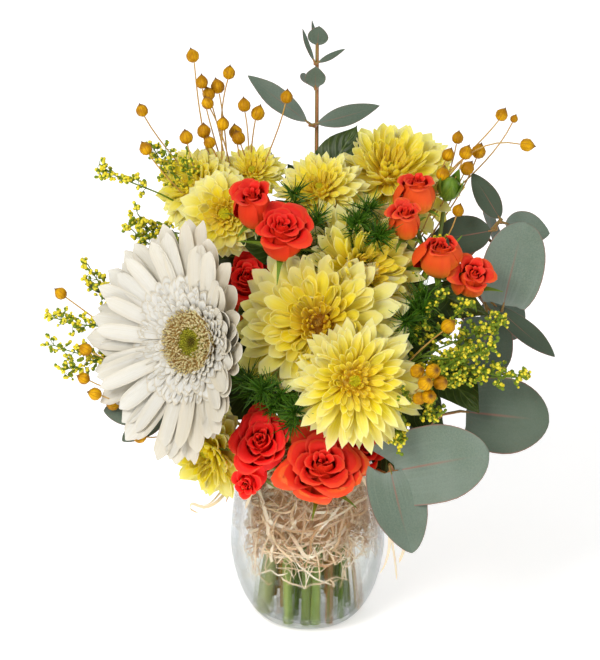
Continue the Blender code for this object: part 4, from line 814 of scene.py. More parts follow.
def water_finish(colours):
    """Clear water with a slow ripple."""
    tint = (*colours.water_tint, 1)
    finish = Finish("clear water", roughness=0.0, transmission_weight=1.0, ior=1.12, base_color=tint)
    edge = finish.start.make("ShaderNodeLayerWeight", None, {"Blend": 0.3}, 1)
    finish.tree.links.new((edge.soft(0.3, 1.0) * 0.4 + 0.22).socket, finish.shader.inputs["Alpha"])
    finish.bump(finish.noise(60, 1), 0.05, 0.001)
    return finish.material


# Following the CAD stems


SPOKES = 8  # rays that search for a stem's wall, all round
RAY_REACH = 80
MOST_STEPS = 120  # of the search along a stem


def solid_of(node):
    """A CAD node's skin in millimetres, to be searched with rays."""
    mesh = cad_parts[node].data
    points = [v.co / MM for v in mesh.vertices]
    return BVHTree.FromPolygons(points, [tuple(face.vertices) for face in mesh.polygons])


def wall_distances(tree, spot, spokes, wide):
    """How far the wall is from a point inside a stem, or None where the point is outside."""
    distances, outside = [], 0
    for spoke in spokes:
        _, normal, _, distance = tree.ray_cast(Vector(spot), Vector(spoke), RAY_REACH)
        if distance is None or normal.dot(Vector(spoke)) < 0:
            outside += 1
        distances.append(wide if distance is None else min(distance, wide))
    return None if outside > 2 else np.array(distances)


def follow(tree, start, heading, radius, until=None):
    """The middle line of a CAD stem, from a point in it to its end, to where it widens or to where it
    meets the points of another line."""
    spot, heading, path, wide = np.array(start, float), unit(heading), [], radius * 2.2
    for number in range(MOST_STEPS):
        first, second = across_of(heading)
        spokes = [outward(first, second, t) for t in np.arange(SPOKES) * 2 * math.pi / SPOKES]
        for _ in range(2):
            walls = wall_distances(tree, spot, spokes, wide)
            if walls is None:
                return path
            spot = spot + sum(spoke * wall for spoke, wall in zip(spokes, walls)) / SPOKES
        if number > 3 and np.median(walls) > radius * 1.7:
            return path
        if until is not None and path and np.linalg.norm(until - spot, axis=1).min() < radius:
            return path
        path.append(spot)
        if len(path) > 2:
            heading = unit(heading + unit(path[-1] - path[-3]))
        spot = spot + heading * STEM_STEP
    return path


def evened(path):
    """A path smoothed and cut into even steps."""
    path = np.asarray(path, float)
    for _ in range(4):
        path[1:-1] = path[1:-1] * 0.5 + (path[:-2] + path[2:]) * 0.25
    lengths = np.concatenate([[0], np.cumsum(np.linalg.norm(np.diff(path, axis=0), axis=1))])
    places = np.linspace(0, lengths[-1], max(4, int(lengths[-1] / STEM_STEP)))
    return np.column_stack([np.interp(places, lengths, path[:, k]) for k in range(3)])


def main_line(node, mouth, radius, end, arrive):
    """The line of a main stem from its foot to its end: up the middle of the CAD stem as far as that
    can be followed, which is often only to the vase's mouth, and then along a smooth curve."""
    start = vector(mouth[0] * 0.95, mouth[1] * 0.95, VASE_FLOOR + 1.6)
    way = vector(mouth[0] * 0.05, mouth[1] * 0.05, VASE_HEIGHT - VASE_FLOOR)
    path = follow(solid_of(node), start + unit(way) * 1.5, way, radius)
    foot = vector(*FEET.get(node, start))
    for spot in path:
        spot += (foot - start) * (1 - step(5, 75, spot[2]))
    return np.vstack([foot, *path, *bent(path[-1], end, unit(path[-1] - path[-3]), arrive, 4)[1:]])


def side_line(node, main, radius, end, arrive):
    """The line of a side stem, from the main stem to its end: down the middle of the CAD stem, or
    straight behind its bloom where that can't be followed."""
    path = follow(solid_of(node), end - arrive * 2, -arrive, radius, until=main)
    if len(path) < 3:
        path = [end - arrive * 3, end - arrive * 6]
    above = main[main[:, 2] > VASE_HEIGHT - 10]
    fork = above[np.argmin(np.linalg.norm(above - path[-1], axis=1))]
    return np.vstack([fork, *path[::-1], end])


# The blooms


def bloom_of(place, back):
    """The base of a bloom behind the middle of its face, the way it faces and its half-width."""
    at, turn, tilt, radius = place
    axis = facing(turn, tilt)
    return seen(*at) - axis * back, axis, radius


def mum_of(bloom):
    return bloom_of(MUMS[bloom], 0.30 * MUMS[bloom][3])


def rose_of(bloom):
    share = ROSE_LOOKS[bloom][5]
    return bloom_of(ROSES[bloom], rose_height(bloom) * share)


def rose_height(bloom):
    return (1.25 * ROSES[bloom][3] + 5) * ROSE_LOOKS[bloom][2]


MUM_ANGLES = (5, 28, 53, 75, 94, 112)
MUM_LENGTHS = (0.17, 0.36, 0.56, 0.72, 0.80, 0.72)
MUM_HALVES = (0.9, 2.3, 3.9, 4.7, 4.9, 4.4)  # of a bloom of 40 mm half-width
MUM_TIPS = (55, 46, 36, 26, 14, -12)
MUM_CUPS = (1.25, 1.1, 0.9, 0.7, 0.6, 0.5)
SCOOP = ((0, 0.3, 0.66, 0.86, 1), (0.36, 0.62, 1.0, 0.95, 0.50))
LANCE = ((0, 0.3, 0.60, 0.84, 1), (0.38, 0.66, 1.0, 0.80, 0.22))
NARROW = ((0, 0.3, 0.58, 0.82, 1), (0.34, 0.62, 0.86, 0.66, 0.12))
BROAD = ((0, 0.3, 0.60, 0.84, 1), (0.38, 0.80, 1.25, 1.0, 0.22))
# The eye, how golden the inner petals are, the petals' outline, how far the outer ones hang, and
# the way (across, up) and share by which the petals are longer on one side.
MUM_LOOKS = {
    "mum_front": (0.07, 0.3, NARROW, 14, (0.8, -0.5), 0.16),
    "mum_middle": (0.04, 0.0, SCOOP, 0, (0.7, -0.7), 0.09),
    "mum_right": (0.04, 0.1, LANCE, 0, (0, 1), 0.15),
    "mum_upper_left": (0.10, 0.4, BROAD, 6, (-1, 0), 0.15),
    "mum_far_left": (0.05, 0.5, BROAD, 8, (-1, -0.3), 0.12),
    "mum_low_left": (0.05, 0.5, BROAD, 20, (-1, -1), 0.12),
    "mum_top": (0.05, 0.35, NARROW, 10, (0, -1), 0.1),
    "mum_small_top": (0.06, 0.35, NARROW, 0, (0.3, 1), 0.2),
    "mum_top_right": (0.04, 0.4, SCOOP, 24, (1, 0.2), 0.15),
}
MUM_LOOK = (0.05, 0.35, LANCE, 8, (0, 1), 0.05)
EYE_FLORETS = 44


def mum(sheet, bud, bloom, luck):
    """A chrysanthemum: cupped petals on one spiral over a small dome, round an eye of florets."""
    base, axis, radius = mum_of(bloom)
    eye, golden, outline, hang, side, lopsided = MUM_LOOKS.get(bloom, MUM_LOOK)
    longer = unit(seen(*side, 0) - seen(0, 0, 0))
    first, second = across_of(axis)
    pile = Pile()
    count = round((4.6 if outline is NARROW else 4.1) * radius + 26)
    for k in range(count):
        share = (k + 0.5) / count
        angle = 7 + 102 * share**0.80 + luck.uniform(-7, 7)
        turn = k * GOLDEN + luck.uniform(-0.1, 0.1)
        tilt = math.radians(angle)
        out = outward(first, second, turn)
        low = min(tilt, math.pi / 2)
        ring = eye + (0.24 - eye * 0.5) * math.sin(low)
        root = base + out * ring * radius + axis * 0.26 * radius * math.cos(low)
        heading = axis * math.cos(tilt) + out * math.sin(tilt)
        face = axis * math.sin(tilt) - out * math.cos(tilt)
        heading = unit(heading + np.cross(axis, out) * luck.uniform(-0.14, 0.14))
        length = radius * np.interp(angle, MUM_ANGLES, MUM_LENGTHS) * luck.uniform(0.82, 1.10)
        length *= 1 + lopsided * out.dot(longer)
        half = (radius / 40) ** 0.6 * np.interp(angle, MUM_ANGLES, MUM_HALVES) * luck.uniform(0.88, 1.12)
        curl = np.interp(angle, MUM_ANGLES, MUM_TIPS) + luck.uniform(-14, 10)
        droop = hang * share**3 * luck.uniform(0.6, 1.4)
        cup = np.interp(angle, MUM_ANGLES, MUM_CUPS) * luck.uniform(0.85, 1.15)
        bend = (0.2 * angle, -0.10 * angle - droop, curl - droop)
        points = blade(
            sheet, root, heading, face, length, half, outline, bend, cup, 0.45,
            tip=0.16, twist=luck.uniform(-0.6, 0.6), grooves=(2, 0.12 * half / 3),
        )
        pile.add(points, sheet.faces, sheet.uv, luck.random(), max(golden, min(1, angle / 68)))
    for k in range(EYE_FLORETS):
        turn, far = k * GOLDEN, radius * eye * math.sqrt((k + 0.5) / EYE_FLORETS)
        out = outward(first, second, turn)
        spot = base + out * far + axis * radius * (0.25 + 0.03 * luck.random())
        lean = unit(axis + out * far / radius * 3)
        place_bud(pile, bud, spot, lean, 1.0, luck.random(), -1 if golden > 0.2 else 0.0)
    rise = np.linspace(0, 1, 9) ** 0.7
    dome = [base + axis * radius * (0.255 * high - 0.02) for high in rise]
    tube(pile, dome, radius * 0.25 * np.sqrt(1 - rise**2 * 0.98), 16, 0.3, golden)
    return pile


# How open each rose is, how its rims roll back, how tall and how broad it is as shares of a round
# open one, how orange it is, and how far up the bloom the place in the table lies.
ROSE_LOOKS = {
    "rose_front": (1.0, 0.20, 1.0, 1.0, 0.45, 1.0),
    "rose_front_left": (0.85, 0.16, 1.0, 0.82, 0.0, 1.0),
    "rose_upper_middle": (0.72, 0.20, 1.1, 1.0, 0.35, 0.75),
    "rose_upper_left": (0.45, 0.20, 1.2, 0.95, 0.45, 0.55),
    "rose_behind_left": (0.85, 0.14, 1.0, 1.0, 0.05, 1.0),
    "rose_right_high": (0.30, 0.12, 1.15, 1.12, 0.85, 0.5),
    "rose_right_small": (0.40, 0.16, 1.35, 1.08, 0.85, 0.6),
    "rose_right": (0.14, 0.07, 1.1, 1.12, 1.0, 0.5),
    "rose_right_outer": (0.60, 0.22, 1.0, 1.0, 0.75, 0.6),
    "rose_low_bud": (0.50, 0.20, 1.3, 0.95, 0.0, 0.8),
    "rose_behind_right": (0.9, 0.14, 1.0, 1.0, 0.1, 1.0),
    "rose_back_left": (0.9, 0.16, 1.0, 1.0, 0.4, 1.0),
    "rose_back_right": (0.9, 0.16, 1.0, 1.0, 0.6, 1.0),
}


def rose(sheet, bloom, luck):
    """A rose: petals wrapped round each other on a spiral, the outer ones with rolled rims."""
    base, axis, radius = rose_of(bloom)
    first, second = across_of(axis)
    openness, roll, _, broad, orange, _ = ROSE_LOOKS[bloom]
    tall = rose_height(bloom)
    count = BUD_PETALS if radius <= BUD_SIZE else ROSE_PETALS
    pile = Pile()
    for k in range(count):
        s = k / (count - 1)
        turn = k * GOLDEN + luck.uniform(-0.3, 0.3)
        directions = first * broad, second, axis
        points = rose_petal(sheet, base, directions, radius, tall, s, turn, openness, roll, luck)
        warm = min(1, orange * (0.5 + 0.9 * s))
        shade = luck.random() * 0.4 + (0.6 if bloom.startswith("rose_upper") else 0)
        pile.add(points, sheet.faces, sheet.uv, shade, warm, [0 if upper else 1 for upper in sheet.inner])
    return pile


def rose_petal(sheet, base, directions, radius, tall, s, turn, openness, roll, luck):
    """One petal of a rose. s goes from 0 at the middle of the bloom to 1 outside."""
    first, second, axis = directions
    u, v, w = sheet.u, sheet.v, sheet.w
    belly = radius * (0.14 + (0.82 - 0.20 * openness) * s**0.85)
    top = radius * (0.04 + (0.42 + 0.46 * openness) * s**1.1) * luck.uniform(0.92, 1.05)
    shut = step(0.5, 0.0, openness)
    high = tall * (1.0 - 0.26 * openness * s**1.6) * luck.uniform(0.93 - 0.05 * shut, 1.04)
    flare = radius * roll * (0.25 + s) * luck.uniform(0.5, 1.5)
    line = [
        (radius * 0.12, 0), (belly * 0.80, high * 0.20), (belly, high * 0.46),
        (top * 0.5 + belly * 0.5, high * 0.76), (top, high * 0.93), (top + flare, high),
        (top + flare * 2, high - flare * 0.7),
    ]
    fine = smooth_line(line, 61)
    reach = 0.86 + 0.14 * step(0.1, 0.7, s) * luck.uniform(0.2, 1)
    fall = (0.42 - 0.16 * s) * luck.uniform(0.8, 1.2)
    lean = luck.uniform(-0.05, 0.05)
    arch = np.abs(u) ** 1.7
    place = np.clip(v * (reach - (fall * arch + lean * u) * step(0.2, 1, v)), 0, 1)
    share = np.linspace(0, 1, 61)
    wide, height = np.interp(place, share, fine[:, 0]), np.interp(place, share, fine[:, 1])
    pointed = luck.uniform(0.0, 0.14) * radius * (0.3 + s)
    height = height + pointed * (1 - np.abs(u)) ** 2 * step(0.7, 1, v)
    ruffle = 0.06 * radius * (0.2 + s) * np.sin(luck.uniform(2.0, 4.5) * u + turn * 3) * v**3
    ruffle = ruffle + 0.018 * radius * np.sin(luck.uniform(7, 10) * u + turn * 5) * v**2
    wide = wide * (1 + luck.uniform(0.05, 0.13) * u - 0.16 * u * u * v) + ruffle
    wide = np.maximum(wide + w * 0.16 * (1 - 0.6 * v), 0.25)
    wrap = (1.45 - 0.62 * s) * luck.uniform(0.9, 1.1)
    spread = turn + u * wrap * (0.45 + 0.55 * np.sin(np.minimum(v, 0.6) / 0.6 * math.pi / 2))
    out = np.outer(np.cos(spread), first) + np.outer(np.sin(spread), second)
    return base + out * wide[:, None] + np.outer(height, axis)


RAY_OUTLINE = ((0, 0.3, 0.6, 0.82, 0.94, 1), (0.45, 0.80, 1.0, 0.94, 0.70, 0.40))
FLORET_OUTLINE = ((0, 0.35, 0.7, 1), (0.50, 0.85, 1.0, 0.55))
SCALE_OUTLINE = ((0, 0.4, 0.8, 1), (0.60, 0.90, 1.0, 0.72))
# Rows of rays: lift, length, half-width, number, start from the middle, height above the base.
RAY_ROWS = ((13, 50, 5.9, 25, 14, 2.2), (16, 48, 5.8, 25, 14, 3.2), (20, 43, 5.0, 22, 14, 4.2))
RIGHT_LIFT = 16  # by how much more the rays on the viewer's right stand up, in degrees
# Rows of short florets: where their tips lie from the middle, their height, length, half-width, lift.
CROWN_ROWS = (
    (34.0, 13.2, 14.0, 3.2, 16), (31.0, 13.0, 13.0, 3.1, 18), (28.2, 12.8, 12.0, 2.9, 20),
    (25.5, 12.6, 10.5, 2.7, 24), (23.0, 12.4, 9.0, 2.2, 28), (20.8, 12.4, 7.6, 2.0, 33),
    (18.9, 12.4, 6.0, 1.8, 41), (17.4, 12.4, 4.6, 1.5, 52),
)


def gerbera(ray, floret, luck):
    """The gerbera's long rays in three rows, and the crown of short florets inside them."""
    base, axis, _ = bloom_of(GERBERA, GERBERA_DEPTH)
    pile = Pile()
    for row, (lift, long, half, number, start, high) in enumerate(RAY_ROWS):
        for k in range(number):
            turn = (k + row * 0.37) * 2 * math.pi / number + luck.uniform(-0.06, 0.06)
            across = leaning(axis, turn, 0)[0][0]
            rightwards = max(0, across) / 0.8
            # Painted shade: rays towards the viewer's right get a larger shade mark, which darkens them
            # towards beige, plus a little at random.
            painted_side_shade = 0.10 + 0.35 * step(-0.7, 0.2, across) + luck.uniform(-0.1, 0.1)
            heading, face, out = leaning(axis, turn, lift + RIGHT_LIFT * rightwards + luck.uniform(-5, 5))
            heading = unit(heading + np.cross(axis, out) * luck.uniform(-0.07, 0.07))
            bend = (4, -8 + 8 * rightwards + luck.uniform(-6, 4), 16 * rightwards + luck.uniform(-16, 14))
            reach = long * luck.uniform(0.93, 1.04) * (1 - 0.38 * rightwards**2)
            points = blade(
                ray, base + out * start + axis * high, heading, face, reach,
                half * luck.uniform(0.9, 1.12), RAY_OUTLINE, bend, 0.45 + luck.uniform(-0.2, 0.3), 0.5,
                tip=0.07, twist=luck.uniform(-0.3, 0.3), grooves=(2, 0.22), notch=0.012,
            )
            pile.add(points, ray.faces, ray.uv, painted_side_shade, 1)
    for row, (end, high, long, half, lift) in enumerate(CROWN_ROWS):
        number = round(end * 1.25)
        for k in range(number):
            turn = (k + row * 0.5) * 2 * math.pi / number + luck.uniform(-0.06, 0.06)
            rightwards = leaning(axis, turn, 0)[0][0]
            rise = lift + 8 + 13 * rightwards + luck.uniform(-5, 5)
            heading, face, out = leaning(axis, turn, rise)
            reach = long * luck.uniform(0.94, 1.08)
            far = end * (1 - 0.05 * rightwards) * luck.uniform(0.95, 1.06)
            tip = base + out * far + axis * (high + 2.5 * rightwards + luck.uniform(-0.4, 0.4))
            points = blade(
                floret, tip - heading * reach, heading, face, reach, half * luck.uniform(0.92, 1.1),
                SCALE_OUTLINE, (4, -6, -16 + luck.uniform(-8, 8)), 0.6, 0.35, tip=0.22,
                twist=luck.uniform(-0.3, 0.3),
            )
            pile.add(points, floret.faces, floret.uv, luck.random(), 0.0)
    return pile


def leaning(axis, turn, lift):
    """The heading and the upper side of a petal at a turn round the axis, and the way outwards."""
    first, second = across_of(axis)
    out = outward(first, second, turn)
    rise = math.radians(lift)
    return out * math.cos(rise) + axis * math.sin(rise), axis * math.cos(rise) - out * math.sin(rise), out


def small_bud(rings, sides=6):
    """A small round shape of a few rings: (half-width, height) each, closed at both ends."""
    bpy.ops.object.select_all(action="DESELECT")
    bpy.ops.mesh.primitive_uv_sphere_add(segments=sides, ring_count=len(rings) + 1, radius=1)
    shape = Shape(bpy.context.object)
    heights = np.round(shape.points[:, 2], 4)
    levels = {level: k for k, level in enumerate(sorted(set(heights)))}
    profile = [(0, rings[0][1] * 0.6), *rings, (0, rings[-1][1] * 1.12)]
    points = shape.points.copy()
    for k, level in enumerate(heights):
        wide, high = profile[levels[level]]
        flat = np.linalg.norm(points[k][:2])
        points[k] = (*(points[k][:2] / flat * wide if flat > 1e-6 else (0, 0)), high)
    shape.points = points
    low, top = points[:, 2].min(), points[:, 2].max()
    around = np.arctan2(points[:, 1], points[:, 0]) / (2 * math.pi) % 1
    shape.uv = np.column_stack([around, (points[:, 2] - low) / (top - low)])
    return shape


def place_bud(pile, shape, spot, axis, size, shade, depth=None, slot=0):
    """Adds a copy of a small shape that stands at spot along axis."""
    first, second = across_of(axis)
    points = spot + (shape.points * size) @ np.array([first, second, axis])
    pile.add(points, shape.faces, shape.uv, shade, shape.uv[:, 1] if depth is None else depth, slot)


# The disc's surface: the distance from the middle and the height above the base.
DISC_SECTION = ((0, 7.6), (3, 7.9), (6.2, 9.0), (9, 10.4), (13, 11.2), (16.4, 10.6))
DISC_FLORETS = 700
DISC_REACH = 16.2
EYE = 6.4  # half-width of the eye of tight buds


def gerbera_disc(floret, bud, luck):
    """The disc: a low cushion set with curled florets round an eye of tight buds."""
    base, axis, _ = bloom_of(GERBERA, GERBERA_DEPTH)
    pile = Pile()
    cushion = small_bud([(15.8, 5.4), (15.8, 8.4), (14.6, 9.2), (11.5, 8.4), (6.5, 7.0), (1.0, 5.8)], 24)
    ringed = np.where(np.linalg.norm(cushion.points[:, :2], axis=1) > EYE + 1, 0.85, 0.3)
    # With v at 0 the cushion takes the florets' root colour outside the eye: painted shade between the
    # florets.
    cushion.uv = cushion.uv * 0
    place_bud(pile, cushion, base, axis, 1, 0.2, ringed)
    for k in range(DISC_FLORETS):
        far = DISC_REACH * math.sqrt((k + 0.5) / DISC_FLORETS)
        lean, _, out = leaning(axis, k * GOLDEN, 90 - far * 2.2)
        spot = base + out * far + axis * (np.interp(far, *zip(*DISC_SECTION)) - 0.6)
        lean = unit(lean + nudged(luck, 0.25))
        if far < EYE:
            size = luck.uniform(0.42, 0.6)
            place_bud(pile, bud, spot, lean, size, luck.random(), 0.45 * (far / EYE) ** 1.5)
        else:
            side = unit(np.cross(lean, scattered(luck, 1)))
            points = blade(
                floret, spot, lean, side, luck.uniform(1.8, 2.9), 0.5, FLORET_OUTLINE,
                (0, luck.uniform(30, 110)), 0.9, 0.35, tip=0.2,
            )
            pile.add(points, floret.faces, floret.uv, luck.random(), 0.85)
    return pile


# Stems, leaves and sprays


def stem_of(pile, line, radius, top, sides=10):
    """A stem along its line, tapering to top, with a few slight swellings at its nodes."""
    line = evened(line)
    share = np.linspace(0, 1, len(line))
    swollen = 1 + 0.3 * (1 - step(30, 60, line[:, 2]))
    knots = 1 + 0.12 * np.maximum(0, np.cos(share * 18) - 0.8) * 5
    radii = radius * (1 + (top - 1) * share) * swollen * knots
    tube(pile, line, radii, sides)
    return line


def mum_cup(pile, sheet, base, axis, radius, luck):
    """The green cup under a chrysanthemum, covered with small scales."""
    wide, high = radius * MUM_CUP[0], MUM_CUP[1]
    path = [base - axis * high * share for share in (1.05, 0.9, 0.65, 0.35, 0.05, -0.1)]
    tube(pile, path, [1.4, wide * 0.5, wide * 0.8, wide * 0.98, wide, wide * 0.7], 14)
    first, second = across_of(axis)
    for row, (drop, share) in enumerate(((0.7, 0.75), (0.35, 0.97), (0.1, 1.02))):
        for k in range(12):
            turn = (k + row * 0.5) * math.pi / 6
            out = outward(first, second, turn)
            root = base - axis * high * drop + out * wide * share * 0.95
            heading, face = unit(axis * 0.7 + out * 0.6), out * 0.7 - axis * 0.6
            points = blade(
                sheet, root, heading, face, radius * 0.13 + 1.5, 1.6, FLORET_OUTLINE,
                (0, -10), 0.4, 0.5, tip=0.4,
            )
            pile.add(points, sheet.faces, sheet.uv, luck.random(), 0.6)


def rose_cup(pile, sheet, bloom, luck):
    """The round green hip under a rose and its five pointed sepals."""
    base, axis, radius = rose_of(bloom)
    wide = radius * ROSE_HIP
    path = [base - axis * high for high in (5.5, 4.5, 3, 1.2, -0.4, -1.6)]
    tube(pile, path, [1.2, wide * 0.7, wide, wide * 0.96, wide * 0.8, wide * 0.6], 12, slot=1)
    first, second = across_of(axis)
    long = radius * (1.3 if bloom in SEPALLED else 0.95) + 3
    for k in range(5):
        turn = k * 2 * math.pi / 5 + luck.uniform(-0.2, 0.2)
        out = outward(first, second, turn)
        lean = luck.uniform(0.2, 0.8)
        heading = unit(out + axis * lean)
        points = blade(
            sheet, base + out * wide * 0.6, heading, unit(axis - heading * heading.dot(axis)), long, 2.1,
            ((0, 0.3, 0.6, 1), (0.9, 1.0, 0.5, 0.06)), (20, -50 + luck.uniform(-20, 30)), 0.5, 0.5, tip=0,
            twist=luck.uniform(-0.6, 0.6),
        )
        pile.add(points, sheet.faces, sheet.uv, luck.random(), 0.9, 1)


def leaf(pile, sheet, stem, root, tip, look, half, outline, luck, slot, waves, shade_and_tone):
    """A leaf with its stalk: stem is where the stalk starts, and root and tip are the leaf's ends."""
    heading, length = unit(tip - root), np.linalg.norm(tip - root)
    face = unit(np.cross(np.cross(heading, look), heading))
    stalk = min(3.0, length * 0.08)
    a, b = outline
    places = (1 - np.cos(np.linspace(0, math.pi, 33))) / 2
    widths = np.maximum(np.abs(np.sin(math.pi * places**a)) ** b, 0.03)
    spread = (1 - np.cos(math.pi * sheet.v)) / 2
    points = blade(
        sheet, root + heading * stalk, heading, face, length - stalk, half, (places, widths),
        (luck.uniform(-6, 4), luck.uniform(6, 16)), 0.22, 0.5, tip=0, places=spread,
        lobe=LOBES.get(outline, 0),
        waves=(luck.uniform(1, 2), waves * half / 10, luck.uniform(0, 6)),
    )
    pile.add(points, sheet.faces, np.column_stack([sheet.u * 0.5 + 0.5, spread]), shade_and_tone, 0.8, slot)
    if np.linalg.norm(root - stem) < 0.5:
        stem = root - heading * 2
    path = bent(stem, root, unit(root - stem), heading, 5)
    tube(pile, [*path, root + heading * (stalk + 1.5)], [0.8] * 6 + [0.5], 6)


def leafy_stem(sheet, node, plan, luck, waves=0.5):
    """A stem with its leaves as one pile: the stem's finish first and the leaves' second."""
    mouth, end, radius, leaves = plan
    pile = Pile()
    end = seen(*end)
    line = main_line(node, mouth, radius * 0.8, end, unit(end - vector(*mouth, VASE_HEIGHT)))
    line = stem_of(pile, line, radius, 0.6, 8)
    above = line[line[:, 2] > VASE_HEIGHT]
    for base, tip, look, half, outline, *shade_and_tone in leaves:
        # The sixth entry is painted shade for a leaf seen from its shaded side; without it a random tone.
        shade_and_tone = shade_and_tone[0] if shade_and_tone else luck.uniform(0.2, 0.5)
        root = above[np.argmin(np.linalg.norm(above - seen(*base), axis=1))]
        leaf(pile, sheet, root, seen(*base), seen(*tip), facing(*look), half, outline, luck, 1, waves, shade_and_tone)
    return pile


def twig_lines(line, ends, luck, lift=0.3, short=0):
    """The side twigs of a spray: smooth lines from the upper part of its stem to each end."""
    twigs = []
    for order, end in enumerate(ends):
        size = end[3] if len(end) > 3 else luck.uniform(0.82, 1.0)
        tip = seen(*end[:3])
        place = int(len(line) * (0.98 - 0.32 * (order + 0.5) / len(ends)))
        fork, ahead = line[place], unit(line[place] - line[place - 2])
        reach = unit(tip - fork)
        axis = unit(reach + vector(luck.uniform(-0.3, 0.3), luck.uniform(-0.3, 0.3), lift))
        if len(end) > 4:
            axis = unit(seen(*end[4], 0) - seen(0, 0, 0))
        twigs.append((bent(fork, tip - axis * short * size, unit(ahead + reach * 0.5), axis, 14), axis, size))
    return twigs


def spray_line(node, plan, radius):
    mouth, end, _ = plan
    end = seen(*end)
    return main_line(node, mouth, radius * 0.8, end, unit(end - vector(*mouth, VASE_HEIGHT)))


def flax(pod, node, plan, luck):
    """Flax: hair-thin dry stems, each with a round pod."""
    pile = Pile()
    line = stem_of(pile, spray_line(node, plan, 1.1), 1.0, 0.6, 6)
    for way, axis, size in twig_lines(line, plan[2], luck, 0.1, 4):
        bow = nudged(luck, 4)
        way = way + np.outer(np.sin(np.linspace(0, math.pi, len(way))), bow)
        tube(pile, way, np.linspace(0.5, 0.36, len(way)), 5, luck.random(), 0.3)
        place_bud(pile, pod, way[-1], axis, size, luck.random(), slot=1)
    return pile


BRANCHLETS = 30  # on each twig of the goldenrod
BRANCHLET_FLORETS = 5
GREEN_FLORET = 0.2  # the depth mark of a closed floret


def goldenrod(bud, node, plan, luck):
    """Goldenrod: twigs with short branchlets of small yellow florets, some of them still green."""
    closed = 0.5 if node == "goldenrod_right" else 0.25
    pile = Pile()
    line = stem_of(pile, spray_line(node, plan, 1.1), 1.1, 0.6, 6)
    for way, axis, _ in twig_lines(line, plan[2], luck):
        tube(pile, way, np.linspace(0.55, 0.3, len(way)), 5, luck.random(), 0.3)
        for k in range(BRANCHLETS):
            spot = way[-1 - int(k * 0.26)]
            aside = unit(scattered(luck, 1) + axis * 0.7)
            tip = spot + aside * luck.uniform(2.5, 7.5)
            tube(pile, bent(spot, tip, unit(axis + aside), aside, 3), [0.18] * 4, 4, luck.random(), 0.3)
            for _ in range(BRANCHLET_FLORETS):
                at = spot + (tip - spot) * luck.uniform(0.45, 1.05)
                lean = unit(aside + scattered(luck, 0.6))
                depth = GREEN_FLORET if luck.random() < closed else None
                place_bud(pile, bud, at, lean, luck.uniform(0.6, 1.0), luck.random(), depth, 1)
    return pile


FERN_LOWEST = 126  # height at which a fern's main stem starts to have tufts
TUFT_NEEDLES = 28
NEEDLE_OUTLINE = ((0, 0.4, 1), (0.7, 1, 0.2))


def fern(needle, node, plan, luck):
    """Asparagus fern: twigs that end in tufts of fine needles."""
    pile = Pile()
    line = stem_of(pile, spray_line(node, plan, 1.1), 1.1, 0.6, 6)
    for spot in line[line[:, 2] > FERN_LOWEST][::3]:
        middle = spot + vector(luck.uniform(-9, 9), luck.uniform(-7, 7), luck.uniform(-3, 3))
        tuft(pile, needle, middle, unit(vector(luck.uniform(-1, 1), -0.6, 0.5)), TUFT_NEEDLES + 2, luck)
    for way, axis, _ in twig_lines(line, plan[2], luck, 0.1):
        tube(pile, way, np.linspace(0.6, 0.4, len(way)), 5, luck.random(), 0.3)
        for back in (0, 1, 3, 4, 6, 8):
            middle = way[-1 - back] + nudged(luck, 1) * (1 + back * 0.7)
            tuft(pile, needle, middle, axis, TUFT_NEEDLES, luck)
    return pile


def tuft(pile, needle, middle, axis, count, luck):
    """A star of needles."""
    for _ in range(count):
        way = unit(scattered(luck, 1) + axis * 0.9)
        first, _ = across_of(way)
        side = unit(first + np.cross(way, first) * luck.uniform(-1, 1))
        long = luck.uniform(7, 13)
        bend = (0, luck.uniform(-25, 40))
        points = blade(needle, middle, way, side, long, 0.38, NEEDLE_OUTLINE, bend, 0.1, 0.5, tip=0)
        pile.add(points, needle.faces, needle.uv, luck.random(), 0.8, 1)


# The vase and what is in it


def turned(name, profile, sides):
    """A round body: a circle filled with one face and extruded ring by ring up its profile, where a ring of
    no width is kept 0.02 mm wide.
    """
    bpy.ops.object.select_all(action="DESELECT")
    wide, high = profile[0]
    bpy.ops.mesh.primitive_circle_add(
        vertices=sides, radius=wide * MM, location=(0, 0, high * MM), fill_type="NOTHING"
    )
    body = bpy.context.object
    body.name = name
    bpy.ops.object.transform_apply(location=True, rotation=True, scale=True)
    bpy.ops.object.mode_set(mode="EDIT")
    bpy.ops.mesh.select_all(action="SELECT")
    bpy.ops.mesh.edge_face_add()
    for after, above in profile[1:]:
        move = (0, 0, (above - high) * MM)
        bpy.ops.mesh.extrude_region_move(TRANSFORM_OT_translate={"value": move})
        share = max(after, 0.02) / max(wide, 0.02)
        bpy.ops.transform.resize(value=(share, share, 1), center_override=(0, 0, above * MM))
        wide, high = max(after, 0.02), above
    bpy.ops.mesh.select_all(action="SELECT")
    bpy.ops.mesh.normals_make_consistent(inside=False)
    bpy.ops.object.mode_set(mode="OBJECT")
    return body


def vase_profile():
    """The vase's section: up the outside, over the lip, down the inside and across the floor."""
    outline = smooth_line([(20, 0.2), *VASE_OUTLINE], 40)
    outer = [(w, max(h, 0)) for w, h in outline]
    lip = [(35.0, 92.4), (34.5, 92.75), (33.9, 92.8), (33.3, 92.75), (32.9, 92.4)]
    inner = [(w - VASE_WALL, h) for w, h in outline[::-1] if h > VASE_FLOOR + 5]
    floor = [(29.6, 8.6), (27.4, 5.6), (24, 3.4), (19, 2.2), (9, 1.7), (0.02, 1.7)]
    return [(18.5, 0.5), *outer, *lip, *inner, *floor]


